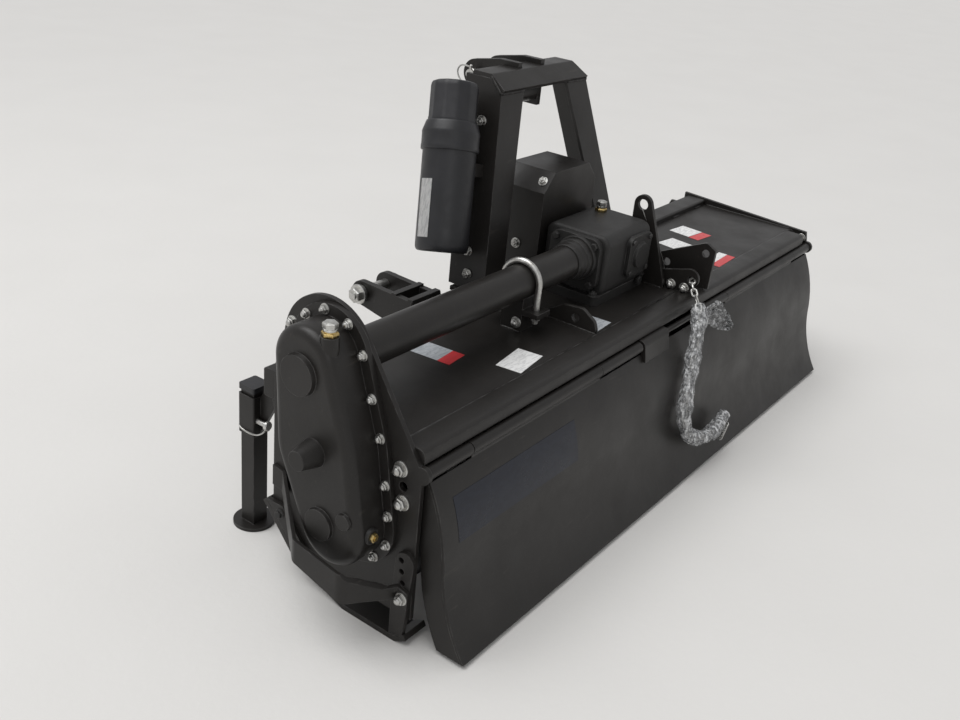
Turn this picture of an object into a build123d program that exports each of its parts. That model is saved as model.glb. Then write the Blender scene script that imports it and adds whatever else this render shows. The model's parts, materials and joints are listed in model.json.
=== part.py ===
from build123d import *
from math import cos, radians, sin
import os

# Rotary tiller for a small tractor's three-point hitch. Millimetres.
# x runs to the right as seen from behind, with 0 midway between the side plates.
# y runs forward to the tractor, with 0 on the tailgate's hinge. z is up from the floor.
# Every piece is moved by one shift at the end, so that the whole model's box is
# centred on the origin and stands on z = 0.

# ---- Main sizes ----
WIDTH = 1500              # over the outer faces of the side plates
PLATE = 8                 # side plates
SHEET = 5                 # hood, tailgate and front shield
TINE_RADIUS = 143         # rotor, axis to the tips' sweep
TINE_GROUND_GAP = 47      # under the tips when parked
TINE_HOOD_GAP = 7
RUNNING = 0.05            # radial play of a pin or shaft in its hole
SLIDING = 0.4             # play on each side of a stand leg in its sleeve

# ---- Places that follow from them ----
HALF = WIDTH / 2
INNER = HALF - PLATE
ROTOR_Y = TINE_RADIUS - 22
ROTOR_Z = TINE_GROUND_GAP + TINE_RADIUS
HOOD_TOP = ROTOR_Z + TINE_RADIUS + TINE_HOOD_GAP + SHEET
HINGE_Z = HOOD_TOP - 35
BAR = 50                  # square toolbar
BAR_REAR = ROTOR_Y + TINE_RADIUS + 21
BAR_FRONT = BAR_REAR + BAR
BAR_TOP = HOOD_TOP + 13
BAR_BOTTOM = BAR_TOP - BAR
TUBE_R = 32               # drive tube
TUBE_FLANGE_R = 48        # against the left plate
TUBE_FLANGE = 10
TUBE_FLARE_R = 41         # against the gearbox
TUBE_FLARE = 44
TUBE_Y = ROTOR_Y + 51
TUBE_Z = HOOD_TOP + 88

# ---- Tailgate hinge ----
ROD_R = 6
KNUCKLE_R = 11
GATE_TOP_GAP = 14         # hinge axis down to the tailgate sheet's edge
HOOD_LIP_Y = 14           # the hood's rear lip ends this far in front of the hinge
HOOD_LIP_Z = HINGE_Z + 6
GATE_SIDE_GAP = 6
GATE_HALF = INNER - GATE_SIDE_GAP
GATE_BELLY_Y = -45
GATE_BELLY_Z = ROTOR_Z - 22
GATE_FOOT_Y = -98
GATE_FOOT_Z = 8
GATE_FLANGE = 45
KNUCKLE_GAP = 2
CENTRE_KNUCKLE = 115      # inner ends of the two middle hood knuckles
MIDDLE_KNUCKLE = 260      # their outer ends
END_KNUCKLE = INNER - 102 # inner ends of the two outer hood knuckles

# ---- Gear case on the left end ----
CASE_DEPTH = 70
CASE_LIP = 18             # width of the bolted flange round the cover
CASE_LIP_THICK = 10
CASE_TOP_R = 58
CASE_MIDDLE_R = 77
CASE_FOOT_R = 61
CASE_EDGE_R = 16
JOURNAL_R = 20            # rotor journals
JOURNAL_DEPTH = 22

BEARING_R = 62            # right end bearing's flange and its nose
BEARING_THICK = 12
BEARING_NOSE_R = 38
BEARING_NOSE = 22
BEARING_CAP = 6           # solid end of the nose

# ---- Rotor ----
SHAFT_R = 35
FLANGES = 7
FLANGE_R = 75
FLANGE_THICK = 10
TINE_STEPS = 6            # tines round one flange
TINE_WIDTH = 40
TINE_THICK = 8
TINE_REACH = 90           # sideways from the flange's middle
TINE_END_GAP = 22         # last tine to the side plate

# ---- Hitch ----
HITCH_HALF = 341          # lower pins' middle, from the centre line
HITCH_GAP = 56
CHEEK = 12
LOWER_PIN_R = 11.1
LOWER_PIN_Y = BAR_FRONT + 125
LOWER_PIN_Z = HOOD_TOP - 1
MAST_HEIGHT = 374         # lower pins to top link pin
TOP_PIN_R = 9.5
TOP_PIN_Y = LOWER_PIN_Y + 28
TOP_PIN_Z = LOWER_PIN_Z + MAST_HEIGHT
TOP_LINK_GAP = 66
EAR = 12

# ---- Mast ----
LEG_WEB = 8
LEG_FOOT_X = 250          # outer face of a leg at its foot, and at its top
LEG_TOP_X = 140
LEG_FACE = 60             # width of the rear face at the foot, and at the top
LEG_TOP_FACE = 74
LEG_FOOT_Y = BAR_REAR - 15
LEG_TOP_Y = LEG_FOOT_Y + 83
LEG_DEPTH = 85
FOOT_PLATE = 8
CAP_LOW_Z = TOP_PIN_Z - 2
CAP_HIGH_Z = TOP_PIN_Z + 29
CAP_SLOPE_Y = 35
CAP_FLAT = 40

# ---- Gearbox ----
BOX_LEFT = -78
BOX_RIGHT = 92
BOX_REAR = TUBE_Y - 58
BOX_FRONT = TUBE_Y + 84
BOX_TOP = TUBE_Z + 50
BOX_FOOT = 14
BOX_COVER = 12
BOX_PAD = 84              # square pad on the rear, and the round boss on it
BOX_PAD_X = 40
BOX_PAD_BOSS_R = 27
COVER_Y = 112             # side covers
COVER_Z = 104
INPUT_R = 17.46           # splined end of the input shaft
INPUT_LENGTH = 72
INPUT_JOURNAL_R = 20
INPUT_JOURNAL_DEPTH = 20  # into the gearbox
INPUT_BOSS_R = 36
INPUT_BOSS = 16

# ---- Stands and skids ----
SLEEVE = 38
SLEEVE_WALL = 3
SLEEVE_TOP = BAR_BOTTOM - 46
SLEEVE_HEIGHT = 75
STAND_X = INNER - 52
STAND_ARM = 60            # toolbar to sleeve
STAND_Y = BAR_FRONT + STAND_ARM + SLEEVE / 2
STAND_FOOT_R = 37
STAND_FOOT = 6
SKID_WIDTH = 50
SKID_THICK = 10

# ---- Manual canister ----
CANISTER_R = 50
CANISTER_LENGTH = 188     # body below the collar
COLLAR_LENGTH = 52
COLLAR_RIM = 4
CAP_LENGTH = 72
CAP_STEP = 5              # the cap is this much smaller in radius

finished = []


def keep(builder, name):
    """Labels one finished piece and puts it on the list that is written at the end."""
    builder.part.label = name
    finished.append(builder.part)


def in_yz(x):
    """The side-view plane at x: its own x is the model's y, its own y is the model's z."""
    return Plane.YZ.offset(x)


def side_span(side, near, far):
    """Start of an extrusion that covers near to far from the centre line, on one side."""
    return near if side > 0 else -far


SIDES = ((-1, "left"), (1, "right"))

# ================= Hood, toolbar, shield and side plates =================

hood_knuckles = ((-INNER, -END_KNUCKLE), (-MIDDLE_KNUCKLE, -CENTRE_KNUCKLE),
                 (CENTRE_KNUCKLE, MIDDLE_KNUCKLE), (END_KNUCKLE, INNER))
gate_knuckles = ((-END_KNUCKLE + KNUCKLE_GAP, -MIDDLE_KNUCKLE - KNUCKLE_GAP),
                 (MIDDLE_KNUCKLE + KNUCKLE_GAP, END_KNUCKLE - KNUCKLE_GAP))

with BuildPart() as hood:
    with BuildSketch(in_yz(-INNER)):
        with BuildLine():
            Polyline((BAR_REAR, HOOD_TOP), (HOOD_LIP_Y + 34, HOOD_TOP), (HOOD_LIP_Y, HOOD_LIP_Z))
            offset(amount=SHEET, side=Side.LEFT)
        make_face()
    extrude(amount=2 * INNER)
    for start, end in hood_knuckles:
        with BuildSketch(in_yz(start)):
            with Locations((0, HINGE_Z)):
                Circle(KNUCKLE_R)
            with Locations((0, HOOD_LIP_Z)):
                Rectangle(HOOD_LIP_Y + 3, SHEET, align=(Align.MIN, Align.MAX))
            with Locations((0, HINGE_Z)):
                Circle(ROD_R, mode=Mode.SUBTRACT)
        extrude(amount=end - start)
keep(hood, "hood")

with BuildPart() as hinge_rod:
    with BuildSketch(in_yz(-INNER)):
        with Locations((0, HINGE_Z)):
            Circle(ROD_R)
    extrude(amount=2 * INNER)
keep(hinge_rod, "hinge_rod")

with BuildPart() as front_bar:
    with BuildSketch(in_yz(-INNER)):
        with Locations((BAR_REAR, BAR_BOTTOM)):
            Rectangle(BAR, BAR, align=(Align.MIN, Align.MIN))
    extrude(amount=2 * INNER)
    fillet(front_bar.edges().filter_by(Axis.X), radius=5)
keep(front_bar, "front_bar")

SHIELD_FOOT_Z = ROTOR_Z - 20
with BuildPart() as front_shield:
    with BuildSketch(in_yz(-INNER)):
        with BuildLine():
            Polyline((BAR_REAR + 25, BAR_BOTTOM), (BAR_REAR + 14, BAR_BOTTOM - 50),
                     (BAR_REAR + 2, SHIELD_FOOT_Z))
            offset(amount=SHEET, side=Side.LEFT)
        make_face()
    extrude(amount=2 * INNER)
    fillet(front_shield.edges().filter_by(Axis.X).group_by(Axis.Z)[-1], radius=1)
keep(front_shield, "front_shield")

PLATE_FOOT_Z = 49
PLATE_CORNER_Z = ROTOR_Z - 60
PLATE_FOOT_FRONT = ROTOR_Y + 98
LEFT_FRONT_Y = BAR_FRONT - 33
RIGHT_FRONT_Y = BAR_FRONT + 10
CROWN_R = 89              # round top of the left plate, over the gear case
HINGE_EAR_R = 14


def plate_outline(front_y, front_top, rear_top):
    """Corners that both side plates share, with their own front edge and heights."""
    return ((0, PLATE_FOOT_Z), (PLATE_FOOT_FRONT, PLATE_FOOT_Z), (front_y, PLATE_CORNER_Z),
            (front_y, front_top), (8, rear_top), (0, HINGE_Z))


with BuildPart() as left_plate:
    with BuildSketch(in_yz(-HALF)):
        with BuildLine():
            Polyline(*plate_outline(LEFT_FRONT_Y, BAR_TOP, HINGE_Z + 16), close=True)
        make_face()
        with Locations((TUBE_Y + 20, TUBE_Z + 4)):
            Circle(CROWN_R)
        make_hull()
        with Locations((0, HINGE_Z)):
            Circle(HINGE_EAR_R)
        with Locations((ROTOR_Y, ROTOR_Z)):
            Circle(JOURNAL_R + 8, mode=Mode.SUBTRACT)
        with Locations((32, HINGE_Z - 32)):
            Circle(8, mode=Mode.SUBTRACT)
    extrude(amount=PLATE)
keep(left_plate, "left_plate")

with BuildPart() as right_plate:
    with BuildSketch(in_yz(INNER)):
        with BuildLine():
            Polyline(*plate_outline(RIGHT_FRONT_Y, BAR_TOP + 5, HOOD_TOP + 2), close=True)
        make_face()
        with Locations((0, HINGE_Z)):
            Circle(HINGE_EAR_R)
        with Locations((ROTOR_Y, ROTOR_Z)):
            Circle(JOURNAL_R + 8, mode=Mode.SUBTRACT)
    extrude(amount=PLATE)
keep(right_plate, "right_plate")

# ================= Gear case, its guard strap and the bearing =================

CASE_MIDDLE_Y = (TUBE_Y + ROTOR_Y) / 2
CASE_MIDDLE_Z = (TUBE_Z + ROTOR_Z) / 2
# Each gear under the cover: y, z, radius of the cover round it.
case_gears = ((TUBE_Y + 6, TUBE_Z + 12, CASE_TOP_R),
              (CASE_MIDDLE_Y + 5, CASE_MIDDLE_Z, CASE_MIDDLE_R),
              (ROTOR_Y - 6, ROTOR_Z + 3, CASE_FOOT_R))
# Each raised dome on the cover's face: y, z, radius, height.
case_domes = ((TUBE_Y + 6, TUBE_Z - 2, 33, 8),
              (CASE_MIDDLE_Y, CASE_MIDDLE_Z + 4, 23, 35),
              (ROTOR_Y + 8, ROTOR_Z + 10, 27, 6),
              (ROTOR_Y - 40, ROTOR_Z + 37, 14, 5))

# The filler stands on the rear shoulder of the cover's round top.
FILLER_X = -HALF - 51
FILLER_Y = TUBE_Y - 32
FILLER_BOSS_R = 14
FILLER_TOP = TUBE_Z + 66

with BuildPart() as case_cover:
    with BuildSketch(in_yz(-HALF)):
        for y, z, r in case_gears:
            with Locations((y, z)):
                Circle(r)
        make_hull()
    extrude(amount=-CASE_DEPTH)
    fillet(case_cover.faces().sort_by(Axis.X)[0].edges(), radius=CASE_EDGE_R)
    with BuildSketch(in_yz(-HALF)):
        for y, z, r in case_gears:
            with Locations((y, z)):
                Circle(r + CASE_LIP)
        make_hull()
    extrude(amount=-CASE_LIP_THICK)
    with BuildSketch(Plane.XY.offset(TUBE_Z + 28)):
        with Locations((FILLER_X, FILLER_Y)):
            Circle(FILLER_BOSS_R)
    extrude(amount=FILLER_TOP - TUBE_Z - 28)
    for y, z, r, height in case_domes:
        with BuildSketch(in_yz(-HALF - CASE_DEPTH)):
            with Locations((y, z)):
                Circle(r)
        extrude(amount=-height, taper=12)
    with BuildSketch(in_yz(-HALF)):
        with Locations((ROTOR_Y, ROTOR_Z)):
            Circle(JOURNAL_R + RUNNING)
    extrude(amount=-JOURNAL_DEPTH, mode=Mode.SUBTRACT)
keep(case_cover, "case_cover")

with BuildPart() as right_bearing:
    with BuildSketch(in_yz(HALF)):
        with Locations((ROTOR_Y, ROTOR_Z)):
            Circle(BEARING_R)
    extrude(amount=BEARING_THICK)
    with BuildSketch(in_yz(HALF + BEARING_THICK)):
        with Locations((ROTOR_Y, ROTOR_Z)):
            Circle(BEARING_NOSE_R)
    extrude(amount=BEARING_NOSE)
    with BuildSketch(in_yz(HALF)):
        with Locations((ROTOR_Y, ROTOR_Z)):
            Circle(JOURNAL_R + RUNNING)
    extrude(amount=BEARING_THICK + BEARING_NOSE - BEARING_CAP, mode=Mode.SUBTRACT)
keep(right_bearing, "right_bearing")

# The skids' rear uprights stand flat on the plates, and the strap's rear foot on the left one.
UPRIGHT = 8
STRAP_THICK = 6
STRAP_OUT = 24            # between the case cover's face and the strap
strap_x = -HALF - CASE_DEPTH - STRAP_OUT
# Side view of the strap: it climbs and widens towards the front.
strap_lower = ((-30, ROTOR_Z - 128), (ROTOR_Y - 81, ROTOR_Z - 90), (ROTOR_Y - 61, ROTOR_Z - 81),
               (ROTOR_Y + 30, ROTOR_Z - 58), (BAR_FRONT, ROTOR_Z - 20))
strap_upper = ((BAR_FRONT, ROTOR_Z + 16), (ROTOR_Y + 30, ROTOR_Z - 18), (ROTOR_Y - 61, ROTOR_Z - 32),
               (ROTOR_Y - 93, ROTOR_Z - 76), (-30, ROTOR_Z - 90))
with BuildPart() as bumper_strap:
    with BuildSketch(Plane.XY):
        with BuildLine():
            FilletPolyline((-HALF - UPRIGHT, -2), (-HALF - UPRIGHT, 22), (strap_x, ROTOR_Y - 62),
                           (strap_x, ROTOR_Y + 32), (-HALF, LEFT_FRONT_Y - 28),
                           (-HALF, LEFT_FRONT_Y - 4), radius=[3, 12, 12, 3])
            offset(amount=STRAP_THICK, side=Side.LEFT)
        make_face()
    extrude(amount=HINGE_Z)
    with BuildSketch(in_yz(-HALF)):
        with BuildLine():
            Polyline(*strap_lower, *strap_upper, close=True)
        make_face()
    extrude(amount=strap_x + HALF - 2 * STRAP_THICK, mode=Mode.INTERSECT)
keep(bumper_strap, "bumper_strap")

# ================= Drive tube, gearbox and input shaft =================

with BuildPart() as drive_tube:
    with BuildSketch(in_yz(-INNER)):
        with Locations((TUBE_Y, TUBE_Z)):
            Circle(TUBE_FLANGE_R)
    extrude(amount=TUBE_FLANGE)
    with BuildSketch(in_yz(-INNER + TUBE_FLANGE)):
        with Locations((TUBE_Y, TUBE_Z)):
            Circle(TUBE_R)
    extrude(amount=INNER - TUBE_FLANGE + BOX_LEFT - BOX_COVER)
    with BuildSketch(in_yz(BOX_LEFT - BOX_COVER)):
        with Locations((TUBE_Y, TUBE_Z)):
            Circle(TUBE_FLARE_R)
    extrude(amount=-TUBE_FLARE, taper=8)
keep(drive_tube, "drive_tube")

with BuildPart() as gearbox:
    with BuildSketch(in_yz(BOX_LEFT)):
        with Locations((BOX_REAR, HOOD_TOP + BOX_FOOT)):
            Rectangle(BOX_FRONT - BOX_REAR, BOX_TOP - HOOD_TOP - BOX_FOOT, align=(Align.MIN, Align.MIN))
    extrude(amount=BOX_RIGHT - BOX_LEFT)
    fillet(gearbox.edges().filter_by(Axis.X), radius=20)
    fillet(gearbox.edges().filter_by(Axis.Z), radius=8)
    with BuildSketch(Plane.XY.offset(HOOD_TOP)):
        with Locations(((BOX_LEFT + BOX_RIGHT) / 2, (BOX_REAR + BOX_FRONT) / 2)):
            RectangleRounded(BOX_RIGHT - BOX_LEFT + 30, BOX_FRONT - BOX_REAR - 8, 12)
    extrude(amount=BOX_FOOT + 6)
    # The rear cover: a raised square with a round boss in it.
    with BuildSketch(Plane.XZ.offset(-BOX_REAR)):
        with Locations((BOX_PAD_X, TUBE_Z - 6)):
            RectangleRounded(BOX_PAD, BOX_PAD, 16)
    extrude(amount=9)
    with BuildSketch(Plane.XZ.offset(-BOX_REAR + 9)):
        with Locations((BOX_PAD_X, TUBE_Z - 6)):
            Circle(BOX_PAD_BOSS_R)
    extrude(amount=6, taper=20)
    # The boss that the input shaft comes out of.
    with BuildSketch(Plane.XZ.offset(-BOX_FRONT)):
        with Locations((0, TUBE_Z)):
            Circle(INPUT_BOSS_R)
    extrude(amount=-INPUT_BOSS)
    with BuildSketch(Plane.XZ.offset(-BOX_FRONT - INPUT_BOSS)):
        with Locations((0, TUBE_Z)):
            Circle(INPUT_JOURNAL_R + RUNNING)
    extrude(amount=INPUT_BOSS + INPUT_JOURNAL_DEPTH + 4, mode=Mode.SUBTRACT)
keep(gearbox, "gearbox")

with BuildPart() as gearbox_covers:
    for x in (BOX_LEFT - BOX_COVER, BOX_RIGHT):
        with BuildSketch(in_yz(x)):
            with Locations((TUBE_Y + 8, TUBE_Z - 8)):
                RectangleRounded(COVER_Y, COVER_Z, 22)
        extrude(amount=BOX_COVER)
keep(gearbox_covers, "gearbox_covers")

with BuildPart() as input_shaft:
    with BuildSketch(Plane.XZ.offset(-BOX_FRONT - INPUT_BOSS - INPUT_LENGTH)):
        with Locations((0, TUBE_Z)):
            Circle(INPUT_R)
    extrude(amount=INPUT_LENGTH)
    chamfer(input_shaft.faces().sort_by(Axis.Y)[-1].edges(), length=2)
    with BuildSketch(Plane.XZ.offset(-BOX_FRONT - INPUT_BOSS)):
        with Locations((0, TUBE_Z)):
            Circle(INPUT_JOURNAL_R)
    extrude(amount=INPUT_BOSS + INPUT_JOURNAL_DEPTH)
keep(input_shaft, "input_shaft")

# ---- Saddle and U-bolt that hold the tube to the hood ----
SADDLE_X = -278
SADDLE_LENGTH = 40
UBOLT_R = 6
UBOLT_BEND = TUBE_R + UBOLT_R + 0.4
CROSS_Z = TUBE_Z - 44     # top of the saddle's cross plate

with BuildPart() as tube_saddle:
    with BuildSketch(in_yz(SADDLE_X - SADDLE_LENGTH / 2)):
        with Locations((TUBE_Y, HOOD_TOP)):
            Rectangle(44, TUBE_Z - HOOD_TOP - 16, align=(Align.CENTER, Align.MIN))
        with Locations((TUBE_Y, CROSS_Z)):
            Rectangle(2 * UBOLT_BEND + 34, 10, align=(Align.CENTER, Align.MAX))
        with Locations((TUBE_Y, TUBE_Z)):
            Circle(TUBE_R, mode=Mode.SUBTRACT)
    extrude(amount=SADDLE_LENGTH)
    with Locations(Plane.XY.offset(CROSS_Z)):
        with Locations((SADDLE_X, TUBE_Y - UBOLT_BEND), (SADDLE_X, TUBE_Y + UBOLT_BEND)):
            Hole(UBOLT_R + 0.3, depth=10)
keep(tube_saddle, "tube_saddle")

with BuildPart() as tube_clamp:
    with BuildLine(in_yz(SADDLE_X)) as clamp_line:
        Line((TUBE_Y - UBOLT_BEND, CROSS_Z - 26), (TUBE_Y - UBOLT_BEND, TUBE_Z))
        ThreePointArc((TUBE_Y - UBOLT_BEND, TUBE_Z), (TUBE_Y, TUBE_Z + UBOLT_BEND),
                      (TUBE_Y + UBOLT_BEND, TUBE_Z))
        Line((TUBE_Y + UBOLT_BEND, TUBE_Z), (TUBE_Y + UBOLT_BEND, CROSS_Z - 26))
    with BuildSketch(Plane.XY.offset(CROSS_Z - 26)):
        with Locations((SADDLE_X, TUBE_Y - UBOLT_BEND)):
            Circle(UBOLT_R)
    sweep(path=clamp_line.line)
keep(tube_clamp, "tube_clamp")

# ================= Plates that stand on the hood =================

LUG_X = BOX_RIGHT + BOX_COVER + 6
EYE_Y = TUBE_Y - 22
EYE_Z = TUBE_Z + 72
EYE_R = 11
LUG_HEAD_R = 20
LUG_FOOT = 92
with BuildPart() as lift_lug:
    with BuildSketch(in_yz(LUG_X)):
        with Locations((EYE_Y, EYE_Z)):
            Circle(LUG_HEAD_R)
        with Locations((EYE_Y - 28, HOOD_TOP)):
            Rectangle(LUG_FOOT, 12, align=(Align.CENTER, Align.MIN))
        make_hull()
        with Locations((EYE_Y, EYE_Z)):
            Circle(EYE_R, mode=Mode.SUBTRACT)
    extrude(amount=PLATE)
keep(lift_lug, "lift_lug")

BRACKET_HOLE_R = 8
LEFT_BRACKET_X = -198
# Side view of the left bracket: y, height above the hood, corner radius.
left_bracket_corners = ((48, 0, 1), (56, 22, 6), (84, 40, 14), (124, 36, 14), (182, 0, 4))
left_bracket_hole = (96, HOOD_TOP + 18)
with BuildPart() as left_bracket:
    with BuildSketch(in_yz(LEFT_BRACKET_X)):
        with BuildLine():
            points = [(y, HOOD_TOP + rise) for y, rise, radius in left_bracket_corners]
            radii = [radius for y, rise, radius in left_bracket_corners]
            FilletPolyline(*points, points[0], radius=radii[1:] + radii[:1])
        make_face()
        with Locations(left_bracket_hole):
            Circle(BRACKET_HOLE_R, mode=Mode.SUBTRACT)
    extrude(amount=PLATE)
keep(left_bracket, "left_bracket")

# The right bracket is a channel: a tall plate, and a low one that the chain hangs from.
RIGHT_BRACKET_X = 172
RIGHT_BRACKET_TOP = HOOD_TOP + 100
right_bracket_holes = ((22, RIGHT_BRACKET_TOP - 22), (104, HOOD_TOP + 36))
with BuildPart() as right_bracket:
    with BuildSketch(in_yz(RIGHT_BRACKET_X)):
        with BuildLine():
            Polyline((50, HOOD_TOP), (4, HOOD_TOP + 4), (2, RIGHT_BRACKET_TOP - 12),
                     (24, RIGHT_BRACKET_TOP), (124, HOOD_TOP + 52), (150, HOOD_TOP), close=True)
        make_face()
        with Locations(*right_bracket_holes):
            Circle(BRACKET_HOLE_R, mode=Mode.SUBTRACT)
    extrude(amount=PLATE)
    fillet(right_bracket.edges().filter_by(Axis.X).group_by(Axis.Z)[-1], radius=10)
keep(right_bracket, "right_bracket")

CHAIN_PLATE_X = 128
CHAIN_PLATE = 6
CHAIN_HOLE = (24, HOOD_TOP + 30)
with BuildPart() as chain_plate:
    with BuildSketch(in_yz(CHAIN_PLATE_X)):
        with Locations((28, HOOD_TOP + 32)):
            Circle(20)
        with Locations((50, HOOD_TOP)):
            Rectangle(112, 12, align=(Align.MIN, Align.MIN))
        make_hull()
        with Locations(CHAIN_HOLE):
            Circle(BRACKET_HOLE_R, mode=Mode.SUBTRACT)
    extrude(amount=CHAIN_PLATE)
keep(chain_plate, "chain_plate")

# ================= Mast, top link ears and lower hitch =================

EAR_HEAD_R = 24           # round the pins
PIN_HEAD = 8
PIN_HEAD_RIM = 6
SPACER_R = 22
LEG_BASE_Z = BAR_TOP + FOOT_PLATE
leg_rise = CAP_HIGH_Z - LEG_BASE_Z
lean_x = (LEG_FOOT_X - LEG_TOP_X) / leg_rise
lean_y = (LEG_TOP_Y - LEG_FOOT_Y) / leg_rise
CAP_REAR_Y = LEG_TOP_Y - 7
CAP_THICK = 8
cap_low_half = LEG_TOP_X + lean_x * (CAP_HIGH_Z - CAP_LOW_Z)


def leg_corners(side, outer_x, face, rear_y):
    """An angle section: a rear face and a deep outer web, open to the front and middle."""
    inner_x = outer_x - face
    web_x = outer_x - LEG_WEB
    corners = ((outer_x, rear_y), (outer_x, rear_y + LEG_DEPTH), (web_x, rear_y + LEG_DEPTH),
               (web_x, rear_y + LEG_WEB), (inner_x, rear_y + LEG_WEB), (inner_x, rear_y))
    return [(side * x, y) for x, y in corners]


for side, name in SIDES:
    with BuildPart() as mast_leg:
        for height, outer_x, face, rear_y in (
                (LEG_BASE_Z, LEG_FOOT_X, LEG_FACE, LEG_FOOT_Y),
                (CAP_HIGH_Z, LEG_TOP_X, LEG_TOP_FACE, LEG_TOP_Y)):
            with BuildSketch(Plane.XY.offset(height)):
                with BuildLine():
                    Polyline(*leg_corners(side, outer_x, face, rear_y), close=True)
                make_face()
        loft(ruled=True)
        # Everything above the cap's underside comes off.
        with BuildSketch(in_yz(-LEG_FOOT_X - 20)):
            with BuildLine():
                Polyline((CAP_REAR_Y - 100, CAP_LOW_Z), (CAP_REAR_Y, CAP_LOW_Z),
                         (CAP_REAR_Y + CAP_SLOPE_Y, CAP_HIGH_Z - CAP_THICK),
                         (CAP_REAR_Y + 200, CAP_HIGH_Z - CAP_THICK),
                         (CAP_REAR_Y + 200, CAP_HIGH_Z + 60), (CAP_REAR_Y - 100, CAP_HIGH_Z + 60),
                         close=True)
            make_face()
        extrude(amount=2 * LEG_FOOT_X + 40, mode=Mode.SUBTRACT)
        with BuildSketch(Plane.XY.offset(BAR_TOP)):
            with Locations((side * (LEG_FOOT_X - LEG_FACE / 2), LEG_FOOT_Y - 6)):
                Rectangle(LEG_FACE + 26, LEG_DEPTH - 8, align=(Align.CENTER, Align.MIN))
        extrude(amount=FOOT_PLATE)
    keep(mast_leg, f"{name}_mast_leg")

with BuildPart() as mast_cap:
    with BuildSketch(in_yz(-cap_low_half)):
        with BuildLine():
            Polyline((CAP_REAR_Y, CAP_LOW_Z), (CAP_REAR_Y + CAP_SLOPE_Y, CAP_HIGH_Z - CAP_THICK),
                     (CAP_REAR_Y + CAP_SLOPE_Y + CAP_FLAT, CAP_HIGH_Z - CAP_THICK))
            offset(amount=CAP_THICK, side=Side.LEFT)
        make_face()
    extrude(amount=2 * cap_low_half)
    # Its ends lean with the legs' outer faces.
    with BuildSketch(Plane.XZ.offset(-CAP_REAR_Y - LEG_DEPTH)):
        with BuildLine():
            Polyline((-cap_low_half, CAP_LOW_Z), (-LEG_TOP_X, CAP_HIGH_Z), (LEG_TOP_X, CAP_HIGH_Z),
                     (cap_low_half, CAP_LOW_Z), close=True)
        make_face()
    extrude(amount=2 * LEG_DEPTH, mode=Mode.INTERSECT)
keep(mast_cap, "mast_cap")

EAR_ROOT_Y = CAP_REAR_Y + CAP_SLOPE_Y + 4
EAR_TOP_Z = CAP_HIGH_Z + 10
TOP_EAR_R = 28
ear_inner = TOP_LINK_GAP / 2
# Each ear has a slot that the cap's flat lies in.
with BuildPart() as link_ears:
    for side in (-1, 1):
        with BuildSketch(in_yz(side_span(side, ear_inner, ear_inner + EAR))):
            with Locations((TOP_PIN_Y, TOP_PIN_Z)):
                Circle(TOP_EAR_R)
            with Locations((EAR_ROOT_Y, EAR_TOP_Z)):
                Rectangle(46, 90, align=(Align.MIN, Align.MAX))
            make_hull()
            with Locations((TOP_PIN_Y, TOP_PIN_Z)):
                Circle(TOP_PIN_R + RUNNING, mode=Mode.SUBTRACT)
            with Locations((CAP_REAR_Y + CAP_SLOPE_Y + CAP_FLAT, CAP_HIGH_Z)):
                Rectangle(2 * CAP_FLAT, CAP_THICK, align=(Align.MAX, Align.MAX), mode=Mode.SUBTRACT)
        extrude(amount=EAR)
    with BuildSketch(in_yz(-ear_inner)):
        with Locations((EAR_ROOT_Y + 20, CAP_HIGH_Z - 52)):
            Circle(SPACER_R)
    extrude(amount=TOP_LINK_GAP)
keep(link_ears, "link_ears")

with BuildPart() as top_link_pin:
    with BuildSketch(in_yz(-ear_inner - EAR - 18)):
        with Locations((TOP_PIN_Y, TOP_PIN_Z)):
            Circle(TOP_PIN_R)
    extrude(amount=TOP_LINK_GAP + 2 * EAR + 36)
    with BuildSketch(in_yz(ear_inner + EAR + 1)):
        with Locations((TOP_PIN_Y, TOP_PIN_Z)):
            Circle(TOP_PIN_R + PIN_HEAD_RIM)
    extrude(amount=PIN_HEAD)
keep(top_link_pin, "top_link_pin")

for side, name in SIDES:
    cheek_outer = HITCH_HALF + HITCH_GAP / 2 + CHEEK
    cheek_inner = HITCH_HALF - HITCH_GAP / 2 - CHEEK
    with BuildPart() as clevis:
        for near in (cheek_inner, cheek_outer - CHEEK):
            with BuildSketch(in_yz(side_span(side, near, near + CHEEK))):
                with Locations((LOWER_PIN_Y, LOWER_PIN_Z)):
                    Circle(EAR_HEAD_R)
                with Locations((BAR_FRONT, BAR_BOTTOM - 8)):
                    Rectangle(14, BAR + 14, align=(Align.MIN, Align.MIN))
                make_hull()
                with Locations((LOWER_PIN_Y, LOWER_PIN_Z)):
                    Circle(LOWER_PIN_R + RUNNING, mode=Mode.SUBTRACT)
            extrude(amount=CHEEK)
        with BuildSketch(in_yz(side_span(side, cheek_inner, cheek_outer))):
            with Locations((BAR_FRONT, LOWER_PIN_Z), (BAR_FRONT + 40, LOWER_PIN_Z)):
                Rectangle(CHEEK, 50, align=(Align.MIN, Align.CENTER))
        extrude(amount=cheek_outer - cheek_inner)
    keep(clevis, f"{name}_clevis")
    with BuildPart() as hitch_pin:
        with BuildSketch(in_yz(side_span(side, cheek_inner - 16, cheek_outer + 14))):
            with Locations((LOWER_PIN_Y, LOWER_PIN_Z)):
                Circle(LOWER_PIN_R)
        extrude(amount=cheek_outer - cheek_inner + 30)
        with BuildSketch(in_yz(side_span(side, cheek_outer + 1, cheek_outer + 1 + PIN_HEAD))):
            with Locations((LOWER_PIN_Y, LOWER_PIN_Z)):
                Circle(LOWER_PIN_R + PIN_HEAD_RIM)
        extrude(amount=PIN_HEAD)
    keep(hitch_pin, f"{name}_hitch_pin")

# ================= Guard over the input shaft =================

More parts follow.
